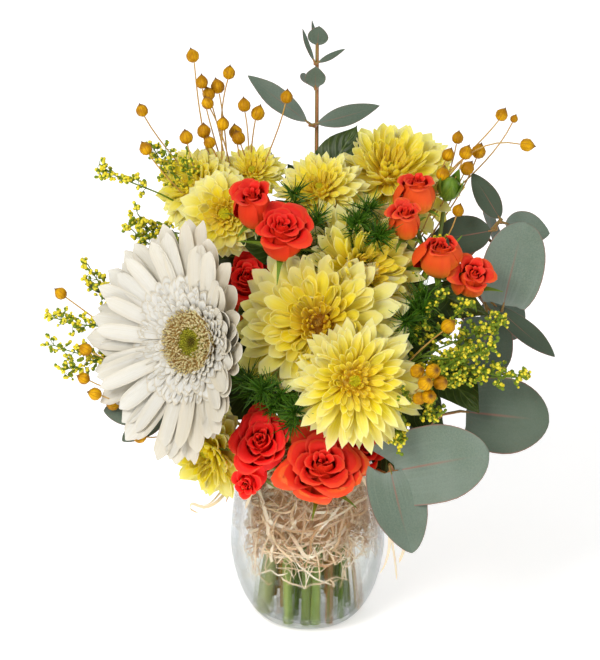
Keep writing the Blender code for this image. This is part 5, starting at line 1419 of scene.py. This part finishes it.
def ribbon(pile, path, half, thick, luck, shade):
    """A flat curled shaving along a path."""
    path = np.asarray(path)
    ahead = np.gradient(path, axis=0)
    ahead /= np.linalg.norm(ahead, axis=1)[:, None]
    side = across_of(ahead[0])[0]
    spin, turn = luck.uniform(-0.12, 0.12), luck.uniform(0, math.pi)
    rings = []
    for k, (spot, way) in enumerate(zip(path, ahead)):
        side = unit(side - way * side.dot(way))
        flat = np.cross(way, side)
        turn += spin
        a = side * math.cos(turn) + flat * math.sin(turn)
        b = np.cross(way, a)
        wide = half * (0.25 if k in (0, len(path) - 1) else 1)
        rings.append([spot + a * wide * i + b * thick * j for i, j in ((-1, -1), (1, -1), (1, 1), (-1, 1))])
    rows = len(rings)
    faces = [(3, 2, 1, 0)]
    for low in range(0, (rows - 1) * 4, 4):
        faces += [(low + k, low + (k + 1) % 4, low + 4 + (k + 1) % 4, low + 4 + k) for k in range(4)]
    faces.append(tuple(range((rows - 1) * 4, rows * 4)))
    uv = np.column_stack([np.tile([0, 1, 1, 0], rows), np.repeat(np.linspace(0, 1, rows), 4)])
    pile.add(np.array(rings).reshape(-1, 3), faces, uv, shade)


def wool_strand(luck, low, top, far, near, count):
    """A curling line that stays between two heights and two distances from the middle."""
    turn, height = luck.uniform(0, 2 * math.pi), luck.uniform(low, top)
    wide = luck.uniform(max(near, far - 12), far)
    edge = WOOL_LEFT + luck.uniform(-2, 6)
    spot = vector(max(wide * math.cos(turn), edge), wide * math.sin(turn), height)
    way = unit(scattered(luck, 1))
    spin = unit(scattered(luck, 1)) * luck.choice((0.03, 0.06, 0.1, 0.16, 0.3))
    path = []
    for _ in range(count):
        path.append(spot)
        way = unit(way + np.cross(spin, way) + scattered(luck, 0.08))
        spot = spot + way * 2.3
        reach = math.hypot(spot[0], spot[1])
        room = min(far, vase_inner(spot[2]) - 0.7) if spot[2] < VASE_HEIGHT - 1 else far
        out = vector(spot[0], spot[1], 0) / reach
        if not near < reach < room:
            way = way - out * out.dot(way) * 1.7
        if not low < spot[2] < top:
            way = way * vector(1, 1, -0.7)
        if spot[0] < edge:
            way = way * vector(-0.8, 1, 1)
        kept = min(max(reach, near), room) / reach
        spot = vector(max(spot[0] * kept, edge), spot[1] * kept, min(max(spot[2], low), top))
    return smooth_line(path, round(count * 0.85))


# Single shavings that hang down outside the glass.
STRAYS = (
    [(33, -12, 95), (40, -15, 90), (43.5, -16, 70), (44, -17, 52), (46, -15, 36), (47, -15, 25)],
    [(40, -16, 92), (43, -17, 66), (46, -17, 52), (51, -15, 46), (48, -17, 36)],
    [(36, -24, 93), (41, -22, 74), (43, -19, 50), (41, -20, 38), (38, -23, 33)],
    [
        (-32, -14, 95), (-38, -24, 91), (-45, -33, 82), (-53, -38, 79), (-60, -38, 81), (-61, -36, 77),
        (-57, -37, 75),
    ],
    [(-33, -10, 94), (-42, -24, 86), (-50, -34, 80), (-56, -36, 79)],
)


def wood_wool(luck, strands):
    """The shavings: curled strands packed behind the glass, heaped on top and hanging over the rim."""
    pile = Pile()
    for k in range(strands):
        loose = k % 9 == 0
        low = WOOL_BOTTOM - luck.uniform(2, 17) if loose else WOOL_BOTTOM + 3
        top, near = WOOL_TOP - (40 if loose else 2), 20 if k % 3 else 31
        line = wool_strand(luck, low, top, 37, near, luck.randint(9, 26))
        half = luck.choice((0.25, 0.4)) if loose else luck.choice((0.2, 0.3, 0.45, 0.6, 0.95))
        shade = luck.uniform(0.7, 1) if loose or half > 0.8 else luck.random()
        ribbon(pile, line, half, 0.1, luck, shade)
    for _ in range(strands // 5):
        line = wool_strand(luck, WOOL_TOP - 6, WOOL_TOP + 4, 33, 12, luck.randint(9, 22))
        ribbon(pile, line, luck.choice((0.4, 0.7, 1.0)), 0.1, luck, luck.uniform(0.4, 1))
    for stray in STRAYS:
        ribbon(pile, smooth_line([vector(*spot) for spot in stray], 20), 0.85, 0.12, luck, 0.9)
    for degrees in (-150, -128, -111, -60, -46, -38, -30, -22, -8, 12, 60, 110, 150):
        start = math.radians(degrees + luck.uniform(-6, 6))
        way, drop = luck.choice((-1, 1)), luck.uniform(6, 26)
        route = [
            (24, 91, 0), (31, 95.5, 0.05), (36, 96, 0.12), (39, 93 - drop * 0.3, 0.2),
            (41 + drop * 0.1, 90 - drop, 0.3),
        ]
        spots = [vector(w * math.cos(start + way * t), w * math.sin(start + way * t), h) for w, h, t in route]
        ribbon(pile, smooth_line(spots, 22), luck.uniform(0.5, 0.9), 0.1, luck, luck.uniform(0.4, 1))
    return pile


def wool_core():
    """The dense middle of the wool, a ring with a lumpy skin."""
    rows, sides = 20, 56
    luck = random.Random(5)
    turns = np.linspace(0, 2 * math.pi, rows, endpoint=False)
    section = [(24 + 3.5 * math.cos(t), 70 + 19 * math.sin(t)) for t in turns]
    points = []
    for k in range(sides):
        turn = 2 * math.pi * k / sides
        for wide, high in section:
            swell = wide + luck.uniform(-1.6, 1.6)
            points.append((swell * math.cos(turn), swell * math.sin(turn), high + luck.uniform(-1.2, 1.2)))
    faces = []
    for k in range(sides):
        for j in range(rows):
            a, b = k * rows, (k + 1) % sides * rows
            faces.append((a + j, b + j, b + (j + 1) % rows, a + (j + 1) % rows))
    return np.array(points), faces


# Settings


def colour_setting(name, about, default):
    return bpy.props.FloatVectorProperty(
        name=name, description=about, subtype="COLOR", size=3, min=0, max=1, default=default
    )


class FlowerColours(bpy.types.PropertyGroup):
    """The colours of the blooms and the foliage."""

    mum_petal: colour_setting("Chrysanthemum petal", "Main colour of the petals", (0.93, 0.73, 0.012))
    mum_tip: colour_setting("Chrysanthemum tip", "Colour of the petals' tips", (0.93, 0.86, 0.33))
    mum_heart: colour_setting("Chrysanthemum heart", "Colour deep in the bloom", (0.86, 0.54, 0.003))
    mum_deep: colour_setting("Chrysanthemum depth", "Colour of the closed middle", (0.42, 0.17, 0.002))
    mum_eye: colour_setting("Chrysanthemum eye", "Colour of the open eyes", (0.60, 0.50, 0.006))
    gerbera_ray: colour_setting("Gerbera ray", "Main colour of the rays", (0.70, 0.685, 0.635))
    gerbera_vein: colour_setting("Gerbera vein", "Colour of the veins", (0.66, 0.63, 0.54))
    # Painted shade on the rays' roots and sides and on the right-hand rays; also the crown's beige rims,
    # partly painted shade.
    gerbera_shade: colour_setting("Gerbera shade", "Roots and rims of the rays", (0.56, 0.48, 0.33))
    gerbera_stem: colour_setting("Gerbera stem", "Stem of the gerbera", (0.40, 0.42, 0.19))
    gerbera_stem_dark: colour_setting("Gerbera stem dark", "Its darker streaks", (0.24, 0.29, 0.09))
    disc_cream: colour_setting("Disc floret", "Colour of the disc's florets", (0.46, 0.36, 0.14))
    disc_pale: colour_setting("Disc tip", "Colour of the lightest florets", (0.64, 0.57, 0.31))
    # Painted shade at the florets' roots and on the cushion between them.
    disc_root_shade: colour_setting("Disc speck", "Colour of the florets' roots", (0.36, 0.22, 0.06))
    disc_eye: colour_setting("Disc eye", "Colour of the disc's eye", (0.22, 0.21, 0.012))
    disc_dark: colour_setting("Disc middle", "Colour of the eye's middle", (0.07, 0.045, 0.002))
    rose_red: colour_setting("Rose red", "Inside of the petals", (0.96, 0.012, 0.010))
    # Painted shade deep inside the bloom, and the darker tone of some petals.
    rose_dark_and_shade: colour_setting("Rose depth", "Deep inside the bloom", (0.62, 0.004, 0.004))
    rose_coral: colour_setting("Rose coral", "Rims and lit petals", (0.80, 0.045, 0.020))
    # Partly the rims' own colour, partly a painted highlight.
    rose_rim_and_highlight: colour_setting("Rose rim", "Rims of the rose petals", (0.92, 0.13, 0.06))
    rose_orange: colour_setting("Rose orange", "Outside of the orange petals", (0.86, 0.105, 0.014))
    rose_foot: colour_setting("Rose foot", "Foot of the outer petals", (0.85, 0.42, 0.03))
    eucalyptus_leaf: colour_setting("Eucalyptus leaf", "Main colour of the leaves", (0.165, 0.215, 0.165))
    eucalyptus_dark: colour_setting("Eucalyptus mottle", "Darker mottling", (0.13, 0.18, 0.135))
    eucalyptus_bloom: colour_setting("Eucalyptus bloom", "Whitish bloom and veins", (0.26, 0.31, 0.27))
    # Painted shade on leaves seen from their shaded side, and a random darker tone.
    eucalyptus_tone_and_shade: colour_setting("Eucalyptus shade", "The darkest leaves", (0.03, 0.05, 0.022))
    eucalyptus_rib: colour_setting("Eucalyptus rib", "Midrib and margin", (0.30, 0.12, 0.09))
    leaf_green: colour_setting("Broad leaf", "Main colour of the broad leaves", (0.045, 0.075, 0.010))
    leaf_dark: colour_setting("Broad leaf dark", "Darker patches", (0.02, 0.04, 0.006))
    leaf_vein: colour_setting("Broad leaf vein", "Veins and midrib", (0.12, 0.17, 0.04))
    stem_green: colour_setting("Stem", "Green stems", (0.20, 0.29, 0.07))
    stem_light: colour_setting("Stem light", "Stems of the chrysanthemums", (0.34, 0.42, 0.11))
    stem_dark: colour_setting("Stem dark", "Darker streaks of the stems", (0.10, 0.17, 0.03))
    rose_stem: colour_setting("Rose stem", "Stems of the roses", (0.16, 0.20, 0.05))
    sepal: colour_setting("Sepal", "Sepals and green buds", (0.17, 0.28, 0.03))
    sepal_dark: colour_setting("Sepal dark", "Darker streaks of the sepals", (0.09, 0.18, 0.012))
    red_stem: colour_setting("Red stem", "Reddish stems of the eucalyptus", (0.55, 0.17, 0.09))
    pod_gold: colour_setting("Pod gold", "Flax pods", (0.70, 0.37, 0.002))
    pod_brown: colour_setting("Pod brown", "Darker patches of the pods", (0.36, 0.15, 0.002))
    pod_tip: colour_setting("Pod tip", "Dry tips of the pods", (0.16, 0.07, 0.015))
    flax_stem: colour_setting("Flax stem", "Dry stems of the flax", (0.62, 0.43, 0.14))
    goldenrod_yellow: colour_setting("Goldenrod yellow", "Open florets", (0.72, 0.58, 0.02))
    goldenrod_pale: colour_setting("Goldenrod pale", "Lighter florets", (0.78, 0.70, 0.06))
    goldenrod_green: colour_setting("Goldenrod green", "Bracts and twigs", (0.16, 0.23, 0.012))
    fern_green: colour_setting("Fern", "Needles of the asparagus fern", (0.048, 0.138, 0.004))
    fern_dark: colour_setting("Fern dark", "Darker needles", (0.014, 0.052, 0.002))
    fern_tip: colour_setting("Fern tip", "Tips of the needles", (0.10, 0.22, 0.012))


class VaseSettings(bpy.types.PropertyGroup):
    """The vase, its water and its wood wool."""

    glass_tint: colour_setting("Glass tint", "Colour of the clear glass", (0.66, 0.70, 0.72))
    # Painted: the darker surroundings seen through the glass's edges.
    glass_edge_shade: colour_setting("Glass edge", "Colour of the glass seen edge on", (0.40, 0.47, 0.52))
    water_tint: colour_setting("Water tint", "Colour of the water", (0.58, 0.62, 0.46))
    wool_straw: colour_setting("Wool straw", "Light shavings", (0.88, 0.68, 0.43))
    # Darker shavings at random, and painted shade on the wool's core.
    wool_tan_and_shade: colour_setting("Wool tan", "Darker shavings", (0.54, 0.30, 0.12))
    wool_pale: colour_setting("Wool pale", "Palest grain", (0.98, 0.90, 0.74))
    strands: bpy.props.IntProperty(
        name="Strands", description="Number of shavings", default=640, min=20, max=900
    )


class StageSettings(bpy.types.PropertyGroup):
    """The camera, the light and the floor."""

    distance: bpy.props.FloatProperty(
        name="Distance", description="From the camera to the flowers", default=4.0, unit="LENGTH"
    )
    lens: bpy.props.FloatProperty(name="Lens", description="Focal length in millimetres", default=419.5)
    key_power: bpy.props.FloatProperty(
        name="Key light", description="Power of the key light", default=22, unit="POWER"
    )
    fill_power: bpy.props.FloatProperty(
        name="Fill light", description="Power of the fill light", default=4.5, unit="POWER"
    )
    sky: bpy.props.FloatProperty(name="Sky", description="Strength of the even light all round", default=0.45)
    floor: colour_setting("Floor", "Colour of the floor", (0.96, 0.96, 0.96))


# Operators


class FLOWERS_OT_stage(bpy.types.Operator):
    """Sets up the floor, the soft lights and the camera"""

    bl_idname = "flowers.stage"
    bl_label = "Stage"

    def execute(self, context):
        settings = context.scene.flower_stage
        make_floor(settings)
        make_lights(settings)
        make_camera(settings)
        return {"FINISHED"}


def make_floor(settings):
    bpy.ops.object.select_all(action="DESELECT")
    bpy.ops.mesh.primitive_plane_add(size=6, location=(0, 0, 0))
    floor = bpy.context.object
    floor.name = "floor"
    finish = Finish("pale floor", roughness=0.9, specular_ior_level=0.1)
    finish.colour(finish.noise(40, 2).soft(0.2, 0.8).mix(settings.floor, [c * 1.01 for c in settings.floor]))
    finish.shader.inputs["Emission Color"].default_value = (1, 1, 1, 1)
    finish.shader.inputs["Emission Strength"].default_value = 0.42
    floor.data.materials.append(finish.material)


def make_light(name, place, target, size, power, colour=(1, 1, 1)):
    light = bpy.data.lights.new(name, "AREA")
    light.shape = "DISK"
    light.size = size
    light.energy = power
    light.color = colour
    body = bpy.data.objects.new(name, light)
    bpy.context.collection.objects.link(body)
    body.location = place
    body.rotation_euler = (Vector(target) - Vector(place)).to_track_quat("-Z", "Y").to_euler()


def make_lights(settings):
    middle = (0, 0, 0.15)
    make_light("key_light", (-0.7, -1.15, 1.3), middle, 0.8, settings.key_power, (1.0, 0.985, 0.96))
    make_light("fill_light", (0.9, -1.4, 0.5), middle, 1.0, settings.fill_power)
    make_light("back_light", (0.2, 1.2, 1.1), middle, 1.0, settings.fill_power)
    world = bpy.data.worlds.new("pale_studio")
    world.use_nodes = True
    background = world.node_tree.nodes["Background"]
    background.inputs["Color"].default_value = (1, 1, 1, 1)
    background.inputs["Strength"].default_value = settings.sky
    bpy.context.scene.world = world
    bpy.context.scene.view_settings.view_transform = "Standard"


def make_camera(settings):
    tilt = math.radians(VIEW_TILT)
    target = (FLOWERS_MIDDLE + vector(AIM, 0, 0)) * MM
    place = target + vector(0, -math.cos(tilt), math.sin(tilt)) * settings.distance
    camera = bpy.data.cameras.new("camera")
    camera.lens = settings.lens
    camera.sensor_width = 36
    camera.clip_start = 0.01
    camera.clip_end = 20
    body = bpy.data.objects.new("camera", camera)
    bpy.context.collection.objects.link(body)
    body.location = place
    body.rotation_euler = (math.pi / 2 - tilt, 0, 0)
    bpy.context.scene.camera = body


class FLOWERS_OT_vase(bpy.types.Operator):
    """Makes the glass vase, the water and the wood wool"""

    bl_idname = "flowers.vase"
    bl_label = "Vase, water and wood wool"

    def execute(self, context):
        settings = context.scene.flower_vase
        glass = turned("glass_vase", vase_profile(), 96)
        glass.data.materials.append(glass_finish(settings))
        settle(glass, "glass", "vase", sharp=60)
        heights = np.linspace(VASE_FLOOR + 5, WATER_LEVEL - 0.4, 14)
        outline = smooth_line(VASE_OUTLINE, 60)
        outer = [(float(np.interp(h, outline[:, 1], outline[:, 0])) - VASE_WALL + 0.12, h) for h in heights]
        low = [(0.02, 1.6), (9, 1.6), (19, 2.1), (24, 3.3), (27.4, 5.5), (29.7, 8.5)]
        rim = outer[-1][0]
        surface = [(rim + 0.05, WATER_LEVEL + 0.4), (rim - 1, WATER_LEVEL), (0.02, WATER_LEVEL)]
        body = turned("clear_water", [*low, *outer, *surface], 96)
        body.data.materials.append(water_finish(settings))
        settle(body, "water", "water", sharp=60)
        luck = random.Random(21)
        pile = wood_wool(luck, settings.strands)
        points, faces = wool_core()
        # The core's low shade mark colours it dark tan: painted shade between the strands.
        pile.add(points, faces, np.zeros((len(points), 2)), 0.1, 0.5)
        pile.piece("wool_strands", [wool_finish(settings)], "wood_wool", "wood_wool", sharp=40)
        return {"FINISHED"}


class FLOWERS_OT_chrysanthemums(bpy.types.Operator):
    """Makes the ten chrysanthemums"""

    bl_idname = "flowers.chrysanthemums"
    bl_label = "Chrysanthemums"

    def execute(self, context):
        finish = mum_finish(context.scene.flower_colours)
        sheet = slab(4, 7)
        bud = small_bud([(0.5, 0), (0.7, 0.9), (0.8, 1.9), (0.5, 2.3)], 5)
        luck = random.Random(31)
        for bloom in MUMS:
            mum(sheet, bud, bloom, luck).piece("petals_" + bloom, [finish], "chrysanthemum_yellow", bloom)
        return {"FINISHED"}


class FLOWERS_OT_roses(bpy.types.Operator):
    """Makes the thirteen spray roses"""

    bl_idname = "flowers.roses"
    bl_label = "Spray roses"

    def execute(self, context):
        colours = context.scene.flower_colours
        finishes = [rose_finish(colours, False), rose_finish(colours, True)]
        sheet = slab(10, 11)
        luck = random.Random(41)
        for bloom in ROSES:
            rose(sheet, bloom, luck).piece("petals_" + bloom, finishes, "rose_coral", bloom)
        return {"FINISHED"}


class FLOWERS_OT_gerbera(bpy.types.Operator):
    """Makes the gerbera's rays, disc and stem"""

    bl_idname = "flowers.gerbera"
    bl_label = "Gerbera"

    def execute(self, context):
        colours = context.scene.flower_colours
        luck = random.Random(51)
        ray, floret, small = slab(8, 12), slab(4, 5), slab(2, 3)
        rays = gerbera(ray, floret, luck)
        rays.piece("rays_gerbera", [gerbera_finish(colours)], "gerbera_white", "gerbera_rays")
        bud = small_bud([(0.8, 0), (1.0, 0.9), (0.6, 1.8)])
        disc = gerbera_disc(small, bud, luck)
        disc.piece("florets_gerbera", [disc_finish(colours)], "gerbera_centre", "gerbera_disc")
        base, axis, _ = bloom_of(GERBERA, GERBERA_DEPTH)
        pile = Pile()
        wide, high = GERBERA_CUP
        line = main_line("gerbera_stem", GERBERA_MOUTH, GERBERA_STEM, base - axis * high, axis)
        stem_of(pile, line, GERBERA_STEM, 1.0, 14)
        path = [base - axis * high * share for share in (1.1, 0.85, 0.5, 0.15, -0.05)]
        tube(pile, path, [3.4, wide * 0.6, wide * 0.9, wide, wide * 0.9], 18)
        gerbera_bracts(pile, slab(3, 5), base, axis, luck)
        green = stem_finish("gerbera stem", colours.gerbera_stem, colours.gerbera_stem_dark)
        pile.piece("stalk_gerbera", [green], "stem_green", "gerbera_stem")
        return {"FINISHED"}


def gerbera_bracts(pile, sheet, base, axis, luck):
    """The narrow green scales behind the gerbera's rays."""
    first, second = across_of(axis)
    for row in range(2):
        for k in range(22):
            turn = (k + row * 0.5) * 2 * math.pi / 22
            out = outward(first, second, turn)
            root = base - axis * (6 - row * 3) + out * (8.5 + row * 2)
            heading, face = unit(out * 0.8 + axis * 0.6), unit(axis * 0.8 - out * 0.6)
            points = blade(
                sheet, root, heading, face, 13, 1.5, FLORET_OUTLINE, (0, -12), 0.4, 0.5, tip=0.5,
            )
            pile.add(points, sheet.faces, sheet.uv, luck.random(), 0.7)


class FLOWERS_OT_stems(bpy.types.Operator):
    """Makes the stems of the chrysanthemums and the roses, with the cups under their blooms"""

    bl_idname = "flowers.stems"
    bl_label = "Stems"

    def execute(self, context):
        colours = context.scene.flower_colours
        mum_green = stem_finish("chrysanthemum stem", colours.stem_light, colours.stem_green)
        rose_green = stem_finish("rose stem", colours.stem_green, colours.rose_stem)
        fresh = stem_finish("rose sepal", colours.sepal, colours.sepal_dark, 0.1)
        scale, sepal = slab(3, 4), slab(4, 10)
        luck = random.Random(61)
        for node, (blooms, mouth, radius) in PLANTS.items():
            pile = Pile()
            rosy = node.startswith("rose")
            main = None
            for bloom in blooms:
                base, axis, size = rose_of(bloom) if rosy else mum_of(bloom)
                end = base - axis * (ROSE_HIP_HEIGHT if rosy else MUM_CUP[1])
                if main is None:
                    line = main = main_line(node, mouth, radius * 0.85, end, axis)
                    stem_of(pile, line, radius, 0.75)
                else:
                    line = side_line(node, main, radius * 0.62, end, axis)
                    stem_of(pile, line, radius * 0.7, 0.8, 8)
                if rosy:
                    rose_cup(pile, sepal, bloom, luck)
                else:
                    mum_cup(pile, scale, base, axis, size, luck)
            if node == "rose_stem_right":
                green_bud(pile, sepal, main, luck)
            finishes = [rose_green, fresh] if rosy else [mum_green]
            pile.piece("stems_" + node, finishes, "stem_green", node)
        return {"FINISHED"}


def green_bud(pile, sheet, main, luck):
    """The closed green rosebud."""
    at, turn, tilt, radius = GREEN_BUD
    axis, base = facing(turn, tilt), seen(*at)
    above = main[main[:, 2] > 150]
    fork = above[np.argmin(np.linalg.norm(above - base, axis=1))]
    tube(pile, bent(fork, base, unit(vector(0.4, 0, 0.9)), axis, 12), 1.1, 8)
    path = [base + axis * high for high in (-0.5, 1, 3, 6, 8.5, 11, 12.8, 13.8)]
    wide = [1.2, radius * 0.7, radius * 1.0, radius * 1.15, radius * 1.05, radius * 0.75, radius * 0.4, 0.3]
    tube(pile, path, wide, 14, slot=1)
    first, second = across_of(axis)
    for k in range(5):
        turn = k * 2 * math.pi / 5
        out = outward(first, second, turn)
        root = base + axis * 1.5 + out * radius * 0.9
        heading, face = unit(axis + out * 0.35), unit(out * -1 + axis * 0.35)
        points = blade(
            sheet, root, heading, face, 15, 3.6,
            ((0, 0.4, 0.8, 1), (0.8, 1.0, 0.4, 0.1)), (0, 28), 0.7, 0.5, tip=0,
        )
        pile.add(points, sheet.faces, sheet.uv, luck.random(), 0.9, 1)


class FLOWERS_OT_foliage(bpy.types.Operator):
    """Makes the eucalyptus and the broad dark leaves"""

    bl_idname = "flowers.foliage"
    bl_label = "Leaves"

    def execute(self, context):
        colours = context.scene.flower_colours
        red = stem_finish("eucalyptus stem", colours.red_stem, colours.stem_dark)
        green = stem_finish("leaf stem", colours.stem_green, colours.stem_dark)
        glaucous, dark = eucalyptus_finish(colours), leaf_finish(colours)
        sheet = slab(10, 18)
        luck = random.Random(71)
        for node, plan in EUCALYPTUS.items():
            pile = leafy_stem(sheet, node, plan, luck)
            pile.piece("leaves_" + node, [red, glaucous], "eucalyptus", node)
        for node, plan in BROAD_LEAVES.items():
            pile = leafy_stem(sheet, node, plan, luck, 1.2)
            pile.piece("leaves_" + node, [green, dark], "broad_leaf", node)
        return {"FINISHED"}


class FLOWERS_OT_sprays(bpy.types.Operator):
    """Makes the flax, the goldenrod and the asparagus fern"""

    bl_idname = "flowers.sprays"
    bl_label = "Sprays"

    def execute(self, context):
        colours = context.scene.flower_colours
        dry = stem_finish("flax stem", colours.flax_stem, colours.pod_brown)
        green = stem_finish("spray stem", colours.goldenrod_green, colours.sepal_dark)
        pods, florets, needles = pod_finish(colours), goldenrod_finish(colours), fern_finish(colours)
        pod = small_bud([(1.4, 0.2), (3.1, 1.4), (3.8, 3.4), (3.6, 5.2), (2.2, 6.9), (0.6, 8.2)], 15)
        pod.points = ribbed(pod.points)
        bud = small_bud([(0.55, 0.2), (1.15, 1.7), (0.8, 2.5)], 5)
        needle = slab(1, 3)
        luck = random.Random(81)
        for node, plan in FLAX.items():
            flax(pod, node, plan, luck).piece("spray_" + node, [dry, pods], "flax", node)
        for node, plan in SOLIDAGO.items():
            goldenrod(bud, node, plan, luck).piece("spray_" + node, [green, florets], "goldenrod", node)
        for node, plan in ASPARAGUS.items():
            fern(needle, node, plan, luck).piece("spray_" + node, [green, needles], "asparagus_fern", node)
        return {"FINISHED"}


def ribbed(points):
    """Five shallow furrows down a pod."""
    turn = np.arctan2(points[:, 1], points[:, 0])
    share = 1 - 0.07 * (np.cos(turn * 5) > 0.7)
    return np.column_stack([points[:, 0] * share, points[:, 1] * share, points[:, 2]])


OPERATORS = (
    FLOWERS_OT_stage,
    FLOWERS_OT_vase,
    FLOWERS_OT_gerbera,
    FLOWERS_OT_chrysanthemums,
    FLOWERS_OT_roses,
    FLOWERS_OT_stems,
    FLOWERS_OT_foliage,
    FLOWERS_OT_sprays,
)


class FLOWERS_PT_panel(bpy.types.Panel):
    """Lists the makers of the bouquet's pieces"""

    bl_label = "Flowers"
    bl_idname = "FLOWERS_PT_panel"
    bl_space_type = "VIEW_3D"
    bl_region_type = "UI"
    bl_category = "Flowers"

    def draw(self, context):
        for maker in OPERATORS:
            self.layout.operator(maker.bl_idname)


CLASSES = (FlowerColours, VaseSettings, StageSettings, *OPERATORS, FLOWERS_PT_panel)


def register():
    for kind in CLASSES:
        bpy.utils.register_class(kind)
    bpy.types.Scene.flower_colours = bpy.props.PointerProperty(type=FlowerColours)
    bpy.types.Scene.flower_vase = bpy.props.PointerProperty(type=VaseSettings)
    bpy.types.Scene.flower_stage = bpy.props.PointerProperty(type=StageSettings)


def unregister():
    for name in ("flower_colours", "flower_vase", "flower_stage"):
        delattr(bpy.types.Scene, name)
    for kind in reversed(CLASSES):
        bpy.utils.unregister_class(kind)


def main():
    register()
    bpy.ops.flowers.stage()
    bpy.ops.flowers.vase()
    bpy.ops.flowers.gerbera()
    bpy.ops.flowers.chrysanthemums()
    bpy.ops.flowers.roses()
    bpy.ops.flowers.stems()
    bpy.ops.flowers.foliage()
    bpy.ops.flowers.sprays()
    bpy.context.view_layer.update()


if __name__ == "__main__":
    main()
